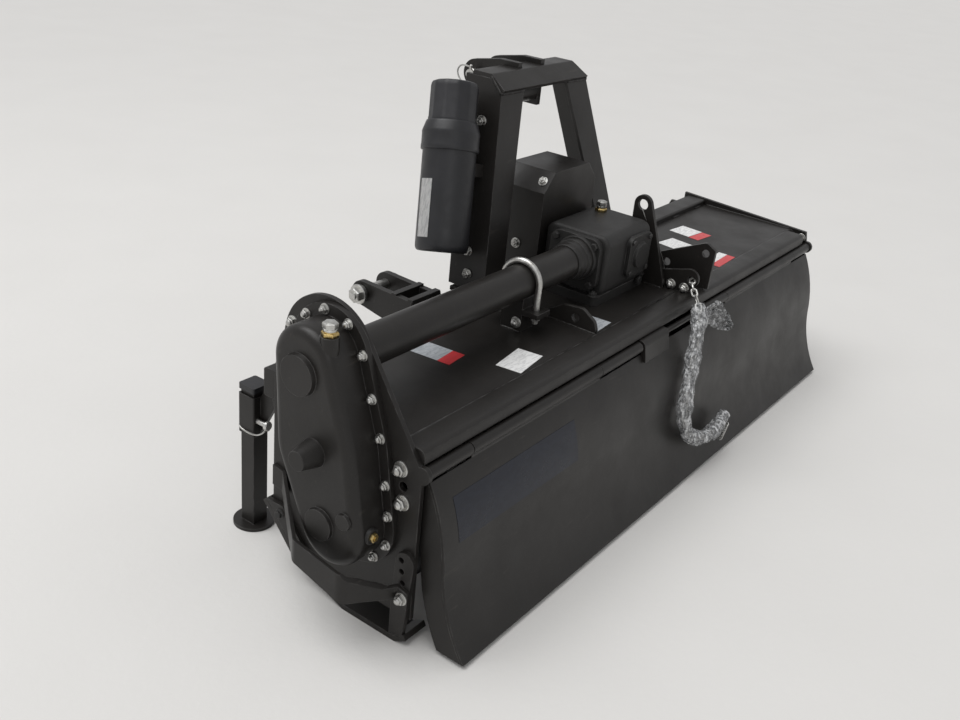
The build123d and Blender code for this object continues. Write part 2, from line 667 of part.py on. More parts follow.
GUARD_HALF = 95
GUARD_FLAT = 62           # half width of its roof
GUARD_TOP = HOOD_TOP + 228
GUARD_SHOULDER = 36
GUARD_THICK = 4
GUARD_REAR = BOX_FRONT + 4
GUARD_FRONT = BAR_FRONT + 28
with BuildPart() as pto_guard:
    with BuildSketch(Plane.XZ.offset(-GUARD_FRONT)):
        with BuildLine():
            Polyline((-GUARD_HALF, BAR_TOP), (-GUARD_HALF, GUARD_TOP - GUARD_SHOULDER),
                     (-GUARD_FLAT, GUARD_TOP), (GUARD_FLAT, GUARD_TOP),
                     (GUARD_HALF, GUARD_TOP - GUARD_SHOULDER), (GUARD_HALF, BAR_TOP))
            offset(amount=GUARD_THICK, side=Side.RIGHT)
        make_face()
    extrude(amount=GUARD_FRONT - GUARD_REAR)
    # Its rear wall, with a hole for the gearbox's boss.
    with BuildSketch(Plane.XZ.offset(-GUARD_REAR - GUARD_THICK)):
        with BuildLine():
            Polyline((-GUARD_HALF, BAR_TOP), (-GUARD_HALF, GUARD_TOP - GUARD_SHOULDER),
                     (-GUARD_FLAT, GUARD_TOP), (GUARD_FLAT, GUARD_TOP),
                     (GUARD_HALF, GUARD_TOP - GUARD_SHOULDER), (GUARD_HALF, BAR_TOP), close=True)
        make_face()
        with Locations((0, TUBE_Z)):
            Circle(INPUT_BOSS_R + 2, mode=Mode.SUBTRACT)
    extrude(amount=GUARD_THICK)
keep(pto_guard, "pto_guard")

# ================= Manual canister beside the mast =================

CANISTER_GAP = 20         # canister to the leg's web
CANISTER_RISE = 82        # its foot above the toolbar
canister_axis = Plane(
    origin=(-LEG_FOOT_X + lean_x * CANISTER_RISE - CANISTER_GAP - CANISTER_R,
            LEG_FOOT_Y + lean_y * CANISTER_RISE + 56, BAR_TOP + CANISTER_RISE),
    x_dir=(0, 1, -lean_y), z_dir=(lean_x, lean_y, 1))

with BuildPart() as manual_canister:
    with BuildSketch(canister_axis):
        Circle(CANISTER_R)
    extrude(amount=CANISTER_LENGTH)
    with BuildSketch(canister_axis.offset(CANISTER_LENGTH)):
        Circle(CANISTER_R + COLLAR_RIM)
    extrude(amount=COLLAR_LENGTH)
    fillet(manual_canister.faces().sort_by(Axis.Z)[0].edges(), radius=8)
keep(manual_canister, "manual_canister")

with BuildPart() as canister_cap:
    with BuildSketch(canister_axis.offset(CANISTER_LENGTH + COLLAR_LENGTH)):
        Circle(CANISTER_R - CAP_STEP)
    extrude(amount=CAP_LENGTH)
    fillet(canister_cap.faces().sort_by(Axis.Z)[-1].edges(), radius=5)
keep(canister_cap, "canister_cap")

with BuildPart() as canister_bracket:
    with BuildSketch(canister_axis.offset(CANISTER_LENGTH - 42)):
        with Locations((-8, -CANISTER_R - 20)):
            Rectangle(44, 80)
        Circle(CANISTER_R, mode=Mode.SUBTRACT)
    extrude(amount=24)
    # Trimmed flush with the outer face of the leg's web.
    with BuildSketch(Plane.XZ.offset(-LEG_TOP_Y - LEG_DEPTH - 20)):
        with BuildLine():
            Polyline((-LEG_FOOT_X, LEG_BASE_Z), (-LEG_TOP_X, CAP_HIGH_Z), (0, CAP_HIGH_Z),
                     (0, LEG_BASE_Z), close=True)
        make_face()
    extrude(amount=LEG_DEPTH + LEG_TOP_Y - LEG_FOOT_Y + 60, mode=Mode.SUBTRACT)
keep(canister_bracket, "canister_bracket")

# ================= Skids and stands =================

# A shoe lies under its side plate, and its outer edge is flush with the uprights.
UPRIGHT_TOP = HINGE_Z - 138
for side, name in SIDES:
    plate_front = RIGHT_FRONT_Y if side > 0 else LEFT_FRONT_Y
    # Side view of the shoe, from its turned-up rear end to the front riser.
    skid_line = ((4, 22), (24, SKID_THICK), (ROTOR_Y + 9, SKID_THICK),
                 (PLATE_FOOT_FRONT + 18, PLATE_FOOT_Z), (plate_front + 8, PLATE_CORNER_Z))
    skid_start = side_span(side, HALF + UPRIGHT - SKID_WIDTH, HALF + UPRIGHT)
    upright_start = side_span(side, HALF, HALF + UPRIGHT)
    with BuildPart() as skid:
        with BuildSketch(in_yz(skid_start)):
            with BuildLine():
                Polyline(*skid_line)
                offset(amount=SKID_THICK, side=Side.RIGHT)
            make_face()
        extrude(amount=SKID_WIDTH)
        with BuildSketch(in_yz(upright_start)):
            with Locations((13, UPRIGHT_TOP - 18)):
                Circle(18)
            with Locations((8, SKID_THICK - 2)):
                Rectangle(26, 60, align=(Align.MIN, Align.MIN))
            make_hull()
            with Locations((19, UPRIGHT_TOP - 15), (17, UPRIGHT_TOP - 35), (14, UPRIGHT_TOP - 55)):
                Circle(5, mode=Mode.SUBTRACT)
        extrude(amount=UPRIGHT)
        with BuildSketch(in_yz(upright_start)):
            with BuildLine():
                Polyline((PLATE_FOOT_FRONT + 16, PLATE_FOOT_Z - 1), (PLATE_FOOT_FRONT - 16, PLATE_FOOT_Z),
                         (plate_front - 30, PLATE_CORNER_Z), (plate_front + 7, PLATE_CORNER_Z),
                         close=True)
            make_face()
        extrude(amount=UPRIGHT)
    keep(skid, f"{name}_skid")

PIN_R = 5
PIN_LENGTH = 27
PIN_ASIDE = 10            # beside the arm that carries the sleeve
PIN_Z = SLEEVE_TOP - 45
CAP_PROUD = 18            # stand leg and its plastic cap above the sleeve
leg_size = SLEEVE - 2 * SLEEVE_WALL - 2 * SLIDING
for side, name in SIDES:
    with BuildPart() as stand_sleeve:
        with BuildSketch(Plane.XY.offset(SLEEVE_TOP - SLEEVE_HEIGHT)):
            with Locations((side * STAND_X, STAND_Y)):
                Rectangle(SLEEVE, SLEEVE)
        extrude(amount=SLEEVE_HEIGHT)
        fillet(stand_sleeve.edges().filter_by(Axis.Z), radius=3)
        # The arm that carries it from the front of the toolbar.
        with BuildSketch(in_yz(side * STAND_X - PLATE / 2)):
            with BuildLine():
                Polyline((BAR_FRONT, BAR_TOP - 8), (BAR_FRONT, BAR_BOTTOM - 6),
                         (STAND_Y - SLEEVE / 2, SLEEVE_TOP - SLEEVE_HEIGHT + 4),
                         (STAND_Y - SLEEVE / 2, SLEEVE_TOP - 4), (BAR_FRONT + 20, BAR_TOP - 8), close=True)
            make_face()
        extrude(amount=PLATE)
        with BuildSketch(Plane.XY.offset(SLEEVE_TOP - SLEEVE_HEIGHT)):
            with Locations((side * STAND_X, STAND_Y)):
                Rectangle(SLEEVE - 2 * SLEEVE_WALL, SLEEVE - 2 * SLEEVE_WALL)
        extrude(amount=SLEEVE_HEIGHT, mode=Mode.SUBTRACT)
        with BuildSketch(Plane.XZ.offset(-STAND_Y + SLEEVE / 2 + 1)):
            with Locations((side * (STAND_X + PIN_ASIDE), PIN_Z)):
                Circle(PIN_R + 0.2)
        extrude(amount=-SLEEVE_WALL - 2, mode=Mode.SUBTRACT)
    keep(stand_sleeve, f"{name}_stand_sleeve")
    with BuildPart() as stand:
        with BuildSketch(Plane.XY.offset(STAND_FOOT - 1)):
            with Locations((side * STAND_X, STAND_Y)):
                Rectangle(leg_size, leg_size)
        extrude(amount=SLEEVE_TOP + CAP_PROUD - 10 - STAND_FOOT + 1)
        with BuildSketch(Plane.XY):
            with Locations((side * STAND_X, STAND_Y)):
                Circle(STAND_FOOT_R)
        extrude(amount=STAND_FOOT)
    keep(stand, f"{name}_stand")
    with BuildPart() as stand_cap:
        with BuildSketch(Plane.XY.offset(SLEEVE_TOP + CAP_PROUD - 10)):
            with Locations((side * STAND_X, STAND_Y)):
                RectangleRounded(SLEEVE, SLEEVE, 4)
        extrude(amount=10)
    keep(stand_cap, f"{name}_stand_cap")

# The pull pins are drawn back: their noses are in the sleeves' walls, clear of the legs.
with BuildPart() as stand_pins:
    with BuildSketch(Plane.XZ.offset(-STAND_Y + SLEEVE / 2 - SLEEVE_WALL)):
        with Locations((-STAND_X - PIN_ASIDE, PIN_Z), (STAND_X + PIN_ASIDE, PIN_Z)):
            Circle(PIN_R)
    extrude(amount=PIN_LENGTH)
keep(stand_pins, "stand_pins")

# ================= Tailgate and its chain =================

GATE_TOP_Y = -6


def gate_profile(depth):
    """Side view of a strip that lies depth deep inside the tailgate's outer line."""
    with BuildSketch(Plane.YZ) as profile:
        with BuildLine():
            SagittaArc((GATE_TOP_Y, HINGE_Z - GATE_TOP_GAP), (GATE_BELLY_Y, GATE_BELLY_Z), -7)
            SagittaArc((GATE_BELLY_Y, GATE_BELLY_Z), (GATE_FOOT_Y, GATE_FOOT_Z), 12)
            offset(amount=depth, side=Side.LEFT)
        make_face()
        with Locations((GATE_FOOT_Y, GATE_FOOT_Z)):
            Rectangle(4 * GATE_FLANGE, GATE_FLANGE, align=(Align.CENTER, Align.MAX), mode=Mode.SUBTRACT)
    return profile.sketch_local


gate_section = gate_profile(SHEET)
gate_end_section = gate_profile(GATE_FLANGE)

with BuildPart() as tailgate:
    with BuildSketch(in_yz(-GATE_HALF)):
        add(gate_section)
    extrude(amount=2 * GATE_HALF)
    for start, end in gate_knuckles:
        with BuildSketch(in_yz(start)):
            with Locations((0, HINGE_Z)):
                Circle(KNUCKLE_R)
            with Locations((GATE_TOP_Y, HINGE_Z - GATE_TOP_GAP - 2)):
                Rectangle(SHEET, GATE_TOP_GAP, align=(Align.MIN, Align.MIN))
            with Locations((0, HINGE_Z)):
                Circle(ROD_R + RUNNING, mode=Mode.SUBTRACT)
        extrude(amount=end - start)
keep(tailgate, "tailgate")

with BuildPart() as gate_ends:
    for start in (-GATE_HALF, GATE_HALF - SHEET):
        with BuildSketch(in_yz(start)):
            add(gate_end_section)
            add(gate_section, mode=Mode.SUBTRACT)
        extrude(amount=SHEET)
keep(gate_ends, "gate_ends")

CLIP_START = -110
CLIP_LENGTH = 95
with BuildPart() as gate_clip:
    with BuildSketch(in_yz(CLIP_START)):
        with Locations((0, HINGE_Z)):
            Circle(KNUCKLE_R + 2)
        with BuildLine():
            Polyline((-13, HINGE_Z), (-4, HINGE_Z), (GATE_TOP_Y - 1, HINGE_Z - 28),
                     (GATE_TOP_Y - 12, HINGE_Z - 28), close=True)
        make_face()
        add(gate_end_section, mode=Mode.SUBTRACT)
        with Locations((0, HINGE_Z)):
            Circle(ROD_R + RUNNING, mode=Mode.SUBTRACT)
    extrude(amount=CLIP_LENGTH)
keep(gate_clip, "gate_clip")

CHAIN_R = 13              # chain in its clear wrap
CHAIN_HOOK_R = 9          # bare links above it
# x, y, z down the tailgate's outer face, and round into the loose end's hook.
gate_chain_route = ((54, -45, 262), (28, -54, 222), (2, -64, 172), (-8, -70, 124), (24, -82, 84),
                    (84, -90, 62), (150, -90, 62), (186, -82, 88))
with BuildPart() as gate_chain:
    with BuildLine() as chain_line:
        FilletPolyline(*gate_chain_route, radius=[90, 90, 50, 45, 60, 25])
    with BuildSketch(Plane(origin=chain_line.line @ 0, z_dir=chain_line.line % 0)):
        Circle(CHAIN_R)
    sweep(path=chain_line.line)
keep(gate_chain, "gate_chain")

# The upper end of the chain leaves the chain plate's left face square to it.
chain_hook_route = ((CHAIN_PLATE_X, 14, HOOD_TOP + 27), (104, 14, HOOD_TOP + 27), (84, -26, HOOD_TOP - 4))
with BuildPart() as chain_hook:
    with BuildLine() as hook_line:
        FilletPolyline(*chain_hook_route, radius=13)
    with BuildSketch(Plane(origin=hook_line.line @ 0, z_dir=hook_line.line % 0)):
        Circle(CHAIN_HOOK_R)
    sweep(path=hook_line.line)
keep(chain_hook, "chain_hook")

# ================= Rotor =================

with BuildPart() as rotor_shaft:
    with BuildSketch(in_yz(-INNER + 14)):
        with Locations((ROTOR_Y, ROTOR_Z)):
            Circle(SHAFT_R)
    extrude(amount=2 * INNER - 28)
    with BuildSketch(in_yz(-HALF - JOURNAL_DEPTH + 2)):
        with Locations((ROTOR_Y, ROTOR_Z)):
            Circle(JOURNAL_R)
    extrude(amount=2 * (HALF + JOURNAL_DEPTH - 2))
keep(rotor_shaft, "rotor_shaft")

last_flange = INNER - TINE_END_GAP - TINE_REACH
flange_step = 2 * last_flange / (FLANGES - 1)
flange_places = [-last_flange + flange_step * k for k in range(FLANGES)]

with BuildPart() as rotor_flanges:
    for x in flange_places:
        with BuildSketch(in_yz(x - FLANGE_THICK / 2)):
            with Locations((ROTOR_Y, ROTOR_Z)):
                RegularPolygon(FLANGE_R, TINE_STEPS)
                Circle(SHAFT_R, mode=Mode.SUBTRACT)
        extrude(amount=FLANGE_THICK)
keep(rotor_flanges, "rotor_flanges")

BLADE_R = TINE_RADIUS - 5 # outer face of a blade at its middle
TURN_PER_FLANGE = 17      # degrees, so that the tines strike one after another
for side, name in SIDES:
    with BuildPart() as tines:
        for k, x in enumerate(flange_places):
            for step in range(TINE_STEPS // 2):
                angle = 120 * step + (60 if side > 0 else 0) + TURN_PER_FLANGE * k
                face_x = x + side * FLANGE_THICK / 2
                hub = Plane(origin=(face_x, ROTOR_Y, ROTOR_Z), z_dir=(side, 0, 0),
                            x_dir=(0, cos(radians(angle)), sin(radians(angle))))
                with BuildSketch(hub):
                    with Locations((SHAFT_R + 7, 0)):
                        Rectangle(BLADE_R - SHAFT_R - 7, TINE_WIDTH, align=(Align.MIN, Align.CENTER))
                extrude(amount=TINE_THICK)
                with BuildSketch(hub):
                    with Locations((BLADE_R, 0)):
                        Rectangle(TINE_THICK, TINE_WIDTH, align=(Align.MAX, Align.CENTER))
                extrude(amount=TINE_REACH - FLANGE_THICK / 2)
    keep(tines, f"{name}_hand_tines")

# ================= Oil plugs =================

CASE_PLUG_R = 13
CASE_PLUG = 18
BOX_PLUG_R = 11
BOX_PLUG = 22
with BuildPart() as oil_plugs:
    with BuildSketch(Plane.XY.offset(FILLER_TOP)):
        with Locations((FILLER_X, FILLER_Y)):
            RegularPolygon(CASE_PLUG_R, 6)
    extrude(amount=CASE_PLUG)
    with BuildSketch(Plane.XY.offset(BOX_TOP)):
        with Locations((62, BOX_FRONT - 38)):
            RegularPolygon(BOX_PLUG_R, 6)
    extrude(amount=BOX_PLUG)
keep(oil_plugs, "oil_plugs")

# ================= One shift, then the files =================

boxes = [piece.bounding_box() for piece in finished]
low = [min(tuple(box.min)[k] for box in boxes) for k in range(3)]
high = [max(tuple(box.max)[k] for box in boxes) for k in range(3)]
shift = Location((-(low[0] + high[0]) / 2, -(low[1] + high[1]) / 2, -low[2]))
print("box", low, high)
print("shift", shift.position)

os.makedirs("parts", exist_ok=True)
for piece in finished:
    placed = piece.moved(shift)
    placed.label = piece.label
    export_step(placed, f"parts/{piece.label}.step")
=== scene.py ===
import json
import random
from math import cos, pi, radians, sin

import bmesh
import bpy
from mathutils import Matrix, Quaternion, Vector
from mathutils.bvhtree import BVHTree


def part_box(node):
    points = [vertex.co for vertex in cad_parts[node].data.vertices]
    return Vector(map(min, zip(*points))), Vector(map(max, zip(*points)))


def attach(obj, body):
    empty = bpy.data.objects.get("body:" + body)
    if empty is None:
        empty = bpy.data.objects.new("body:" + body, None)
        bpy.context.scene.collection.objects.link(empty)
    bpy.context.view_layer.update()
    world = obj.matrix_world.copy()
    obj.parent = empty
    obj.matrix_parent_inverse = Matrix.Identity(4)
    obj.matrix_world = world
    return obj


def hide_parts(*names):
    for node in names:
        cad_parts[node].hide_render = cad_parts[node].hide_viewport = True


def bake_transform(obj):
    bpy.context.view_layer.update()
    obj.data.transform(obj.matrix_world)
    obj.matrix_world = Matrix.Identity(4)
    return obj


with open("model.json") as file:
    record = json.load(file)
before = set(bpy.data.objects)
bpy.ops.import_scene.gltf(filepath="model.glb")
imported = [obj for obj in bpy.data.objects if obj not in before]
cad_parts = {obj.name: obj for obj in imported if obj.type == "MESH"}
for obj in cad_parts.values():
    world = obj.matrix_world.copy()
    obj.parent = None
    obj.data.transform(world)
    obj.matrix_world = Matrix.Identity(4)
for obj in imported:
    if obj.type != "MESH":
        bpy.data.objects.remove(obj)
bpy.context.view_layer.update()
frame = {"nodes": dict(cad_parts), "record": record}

nodes = frame["nodes"]
random.seed(11)

# ---- The part's own frame, in mm: x 0 between the side plates, y 0 on the tailgate's hinge ----
rod_low, rod_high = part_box("hinge_rod")
ORIGIN = Vector(((rod_low.x + rod_high.x) / 2, (rod_low.y + rod_high.y) / 2, 0))
MM = 0.001
HOOD_TOP = 345          # z of the hood's flat top
INNER = 742             # inner face of a side plate
HALF = 750              # its outer face
TUBE = (172, 433)       # y, z of the drive tube's axis
ROTOR = (121, 190)      # y, z of the rotor's axis
LEAN = 0.2887           # of the mast's legs, sideways per height
LEFT, RIGHT = Vector((-1, 0, 0)), Vector((1, 0, 0))
REAR, FRONT = Vector((0, -1, 0)), Vector((0, 1, 0))
UP, DOWN = Vector((0, 0, 1)), Vector((0, 0, -1))
SIDES = (-1, 1)         # left and right, for what stands on both


def at(x, y, z):
    """A place in millimetres as a point of the scene."""
    return ORIGIN + Vector((x, y, z)) * MM


# ================= Camera, floor and light =================

camera_data = bpy.data.cameras.new("camera")
camera_data.sensor_width = 36
camera_data.lens = 39.2
camera = bpy.data.objects.new("camera", camera_data)
bpy.context.scene.collection.objects.link(camera)
view_right = Vector((0.59844, -0.79543, 0.09570))
view_up = Vector((0.29957, 0.33295, 0.89409))
view_back = view_right.cross(view_up)
camera.matrix_world = Matrix.Translation(at(-1758.6, -765.8, 1119.5)) @ Matrix(
    (view_right, view_up, view_back)).transposed().to_4x4()
bpy.context.scene.camera = camera


def area_light(name, place, target, size, power):
    data = bpy.data.lights.new(name, "AREA")
    data.shape = "DISK"
    data.size = size
    data.energy = power
    lamp = bpy.data.objects.new(name, data)
    bpy.context.scene.collection.objects.link(lamp)
    lamp.location = place
    lamp.rotation_euler = (Vector(target) - Vector(place)).to_track_quat("-Z", "Y").to_euler()


sky_data = bpy.data.lights.new("sky", "SUN")
sky_data.energy = 1.45
sky_data.angle = radians(50)        # wide, so that the shadows are soft
sky = bpy.data.objects.new("sky", sky_data)
sky.rotation_euler = Vector((0.30, -0.22, -1)).to_track_quat("-Z", "Y").to_euler()
bpy.context.scene.collection.objects.link(sky)
area_light("key", (-1.4, 1.8, 3.4), (0, 0, 0.3), 1.8, 22)
area_light("fill", (-2.8, -3.0, 2.2), (0, 0, 0.3), 2.6, 10)

world = bpy.data.worlds.new("studio")
bpy.context.scene.world = world
world.use_nodes = True
world.node_tree.nodes["Background"].inputs["Color"].default_value = (0.92, 0.92, 0.93, 1)
world.node_tree.nodes["Background"].inputs["Strength"].default_value = 0.60
bpy.context.scene.view_settings.view_transform = "Standard"


# ================= Materials =================

class Shader:
    """One material's node tree, with short calls for the nodes used here."""

    def __init__(self, name):
        self.material = bpy.data.materials.new(name)
        self.material.use_nodes = True
        self.tree = self.material.node_tree
        self.bsdf = self.tree.nodes["Principled BSDF"]
        self.place = self.tree.nodes.new("ShaderNodeTexCoord").outputs["Object"]

    def link(self, source, target):
        self.tree.links.new(source, target)

    def noise(self, scale, detail=4, stretch=None, roughness=0.55):
        node = self.tree.nodes.new("ShaderNodeTexNoise")
        node.inputs["Scale"].default_value = scale
        node.inputs["Detail"].default_value = detail
        node.inputs["Roughness"].default_value = roughness
        source = self.place
        if stretch:
            mapping = self.tree.nodes.new("ShaderNodeMapping")
            mapping.inputs["Scale"].default_value = stretch
            self.link(source, mapping.inputs["Vector"])
            source = mapping.outputs["Vector"]
        self.link(source, node.inputs["Vector"])
        return node.outputs["Fac"]

    def cells(self, scale):
        node = self.tree.nodes.new("ShaderNodeTexVoronoi")
        node.inputs["Scale"].default_value = scale
        self.link(self.place, node.inputs["Vector"])
        return node.outputs["Distance"]

    def spread(self, value, low, high, to_low=0.0, to_high=1.0):
        node = self.tree.nodes.new("ShaderNodeMapRange")
        for key, number in (("From Min", low), ("From Max", high),
                            ("To Min", to_low), ("To Max", to_high)):
            node.inputs[key].default_value = number
        self.link(value, node.inputs["Value"])
        return node.outputs["Result"]

    def mix(self, factor, first, second):
        node = self.tree.nodes.new("ShaderNodeMix")
        node.data_type = "RGBA"
        self.link(factor, node.inputs["Factor"])
        for socket, colour in ((node.inputs["A"], first), (node.inputs["B"], second)):
            if isinstance(colour, tuple):
                socket.default_value = (*colour, 1)
            else:
                self.link(colour, socket)
        return node.outputs["Result"]

    def colour(self, source):
        self.link(source, self.bsdf.inputs["Base Color"])

    def rough(self, source):
        self.link(source, self.bsdf.inputs["Roughness"])

    def times(self, first, second):
        node = self.tree.nodes.new("ShaderNodeMath")
        node.operation = "MULTIPLY"
        self.link(first, node.inputs[0])
        self.link(second, node.inputs[1])
        return node.outputs["Value"]

    def edges(self, radius):
        """The normal with edges rounded by that many metres, and a mask that is 1 on an edge."""
        bevel = self.tree.nodes.new("ShaderNodeBevel")
        bevel.samples = 4
        bevel.inputs["Radius"].default_value = radius
        plain = self.tree.nodes.new("ShaderNodeNewGeometry")
        likeness = self.tree.nodes.new("ShaderNodeVectorMath")
        likeness.operation = "DOT_PRODUCT"
        self.link(bevel.outputs["Normal"], likeness.inputs[0])
        self.link(plain.outputs["Normal"], likeness.inputs[1])
        return bevel.outputs["Normal"], self.spread(likeness.outputs["Value"], 0.985, 0.86)

    def bump(self, *layers, normal=None):
        """Each layer is (height, depth in metres)."""
        for height, depth in layers:
            node = self.tree.nodes.new("ShaderNodeBump")
            node.inputs["Distance"].default_value = depth
            self.link(height, node.inputs["Height"])
            if normal:
                self.link(normal, node.inputs["Normal"])
            normal = node.outputs["Normal"]
        self.link(normal, self.bsdf.inputs["Normal"])


def paint(name, base, dusty, rough, grain, grain_depth, dust=0.58):
    """Black coating: patches, fine dust, faint rubs and the coating's own grain."""
    s = Shader(name)
    s.bsdf.inputs["Specular IOR Level"].default_value = 0.34
    patches = s.spread(s.noise(5, 5), 0.38, 0.66)
    tone = s.mix(patches, base, tuple(c * 1.35 for c in base))
    specks = s.spread(s.noise(420, 2), dust, dust + 0.14, 0, 0.5)
    tone = s.mix(specks, tone, dusty)
    rubs = s.spread(s.noise(16, 3, (1, 9, 6)), 0.66, 0.74, 0, 0.35)
    tone = s.mix(rubs, tone, dusty)
    rounded, edge = s.edges(0.0020)
    wear = s.times(edge, s.spread(s.noise(45, 5), 0.44, 0.60, 0.10, 0.85))
    s.colour(s.mix(wear, tone, tuple(0.5 * (c + 0.16) for c in dusty)))
    s.rough(s.spread(s.noise(11, 4), 0.3, 0.7, rough - 0.06, rough + 0.09))
    s.bump((s.noise(grain, 3), grain_depth), (s.noise(28, 2), 0.0004), normal=rounded)
    return s.material


def metal(name, base, stained, rough, brushed=(1, 1, 1)):
    s = Shader(name)
    s.bsdf.inputs["Metallic"].default_value = 1
    s.colour(s.mix(s.spread(s.noise(90, 5), 0.35, 0.7), base, stained))
    s.rough(s.spread(s.noise(300, 3, brushed), 0.3, 0.7, rough - 0.08, rough + 0.12))
    s.bump((s.noise(900, 2, brushed), 0.00008))
    return s.material


def plastic(name, base, worn, rough):
    s = Shader(name)
    s.colour(s.mix(s.spread(s.noise(14, 5), 0.4, 0.7), base, worn))
    s.rough(s.spread(s.noise(60, 4), 0.3, 0.7, rough - 0.05, rough + 0.1))
    s.bump((s.noise(1400, 2), 0.00008), (s.noise(40, 2), 0.0002))
    return s.material


def sticker(name, base, printed, rough=0.32):
    """Plain film with faint blank bands of tone where print would be."""
    s = Shader(name)
    bands = s.spread(s.noise(60, 1, (1, 6, 1)), 0.5, 0.53, 0, 0.55)
    s.colour(s.mix(bands, base, printed))
    s.rough(s.spread(s.noise(30, 3), 0.3, 0.7, rough - 0.06, rough + 0.08))
    s.bump((s.noise(120, 2), 0.00006))
    return s.material


finishes = {
    "black_paint": paint("black_paint", (0.0120, 0.0108, 0.0098), (0.052, 0.045, 0.039),
                         0.38, 700, 0.00010, 0.64),
    "cast_black": paint("cast_black", (0.0150, 0.0145, 0.0140), (0.075, 0.068, 0.062),
                        0.50, 420, 0.00045, 0.62),
    "tine_black": paint("tine_black", (0.0150, 0.0142, 0.0138), (0.085, 0.062, 0.046),
                        0.48, 300, 0.00035, 0.60),
    "black_plastic": plastic("black_plastic", (0.0085, 0.0088, 0.0105), (0.017, 0.017, 0.020),
                             0.40),
    "zinc": metal("zinc", (0.62, 0.62, 0.60), (0.40, 0.39, 0.37), 0.34),
    "bare_steel": metal("bare_steel", (0.50, 0.49, 0.48), (0.26, 0.24, 0.22), 0.36, (1, 14, 1)),
    "brass": metal("brass", (0.62, 0.47, 0.20), (0.42, 0.30, 0.12), 0.30),
}

wrap_shader = Shader("clear_wrap")
wrap_folds = wrap_shader.cells(170)
crinkle_and_painted_glints = wrap_shader.noise(150, 5, (1, 1, 0.42), 0.62)
# The crinkle noise also paints the clear wrap from dark to near white: painted glints along the
# creases and painted shade between them. The same noise drives the crinkle bump.
wrap_shader.colour(wrap_shader.mix(wrap_shader.spread(crinkle_and_painted_glints, 0.44, 0.60),
                                   (0.22, 0.225, 0.23), (0.92, 0.93, 0.94)))
wrap_shader.rough(wrap_shader.spread(wrap_shader.noise(200, 3), 0.3, 0.7, 0.05, 0.22))
wrap_shader.bump((wrap_folds, 0.0045), (crinkle_and_painted_glints, 0.0022))
wrap_shader.link(wrap_shader.spread(wrap_shader.noise(80, 4, (1, 1, 0.6)), 0.40, 0.60, 0.30, 0.85),
                 wrap_shader.bsdf.inputs["Alpha"])
finishes["wrapped_chain"] = wrap_shader.material

white_film = sticker("white_film", (0.78, 0.78, 0.77), (0.52, 0.52, 0.52))
red_film = sticker("red_film", (0.56, 0.045, 0.05), (0.50, 0.04, 0.045))
# Grey-blue film. On the left label it is white film with the drive tube's painted shadow.
grey_blue_film = sticker("grey_blue_film", (0.40, 0.42, 0.44), (0.25, 0.27, 0.29), 0.26)
dark_film = sticker("dark_film", (0.009, 0.011, 0.019), (0.012, 0.015, 0.025), 0.30)
dark_film.node_tree.nodes["Principled BSDF"].inputs["Specular IOR Level"].default_value = 0.3

for part in frame["record"]["subparts"]:
    node = nodes[part["node"]]
    node.data.materials.clear()
    node.data.materials.append(finishes[part["material_slot"]])

floor_shader = Shader("floor")
floor_shader.colour(floor_shader.mix(floor_shader.noise(3, 4),
                                     (0.66, 0.65, 0.63), (0.70, 0.69, 0.67)))
floor_shader.bsdf.inputs["Roughness"].default_value = 0.85
floor_shader.bump((floor_shader.noise(60, 3), 0.0006))
floor_mesh = bpy.data.meshes.new("floor")
REACH = 30
floor_mesh.from_pydata([(-REACH, -REACH, 0), (REACH, -REACH, 0), (REACH, REACH, 0),
                        (-REACH, REACH, 0)], [], [(0, 1, 2, 3)])
floor = bpy.data.objects.new("floor", floor_mesh)
floor_mesh.materials.append(floor_shader.material)
bpy.context.scene.collection.objects.link(floor)


# ================= Mesh helpers =================

def lathe(bm, base, axis, profile, segments=24, turn=0.0, flats=0):
    """Revolves (radius, height) pairs in mm about the axis.

    With flats, the round is planed to that many sides.
    """
    axis = Vector(axis).normalized()
    side = axis.orthogonal().normalized()
    rings = []
    for radius, height in profile:
        ring = []
        for k in range(segments):
            angle = turn + 2 * pi * k / segments
            reach = radius
            if flats:
                within = (angle % (2 * pi / flats)) - pi / flats
                reach = min(radius, radius * 1.012 * cos(pi / flats) / cos(within))
            spoke = Quaternion(axis, angle) @ side
            ring.append(bm.verts.new(base + (spoke * reach + axis * height) * MM))
        rings.append(ring)
    for low, high in zip(rings, rings[1:]):
        for k in range(segments):
            bm.faces.new((low[k], low[(k + 1) % segments], high[(k + 1) % segments], high[k]))
    bm.faces.new(rings[0][::-1])
    bm.faces.new(rings[-1])


def tube(bm, points, radius, segments=8, closed=False):
    """A round tube through scene points, of one radius in mm or a list with one for each."""
    count = len(points)
    tangents = []
    for k in range(count):
        before = points[k - 1] if k or closed else points[0]
        after = points[(k + 1) % count] if k < count - 1 or closed else points[-1]
        tangents.append((after - before).normalized())
    side = tangents[0].orthogonal().normalized()
    rings = []
    for k, (point, along) in enumerate(zip(points, tangents)):
        side = (side - along * side.dot(along)).normalized()
        other = along.cross(side)
        r = (radius[k] if isinstance(radius, list) else radius) * MM
        ring = []
        for j in range(segments):
            angle = 2 * pi * j / segments
            ring.append(bm.verts.new(point + (side * cos(angle) + other * sin(angle)) * r))
        rings.append(ring)
    pairs = list(zip(rings, rings[1:]))
    if closed:
        # The last ring is matched to the first by its nearest start.
        first = rings[0]
        shift = min(range(segments), key=lambda j: (rings[-1][0].co - first[j].co).length)
        pairs.append((rings[-1], first[shift:] + first[:shift]))
    for low, high in pairs:
        for j in range(segments):
            bm.faces.new((low[j], low[(j + 1) % segments], high[(j + 1) % segments], high[j]))
    if not closed:
        bm.faces.new(rings[0][::-1])
        bm.faces.new(rings[-1])


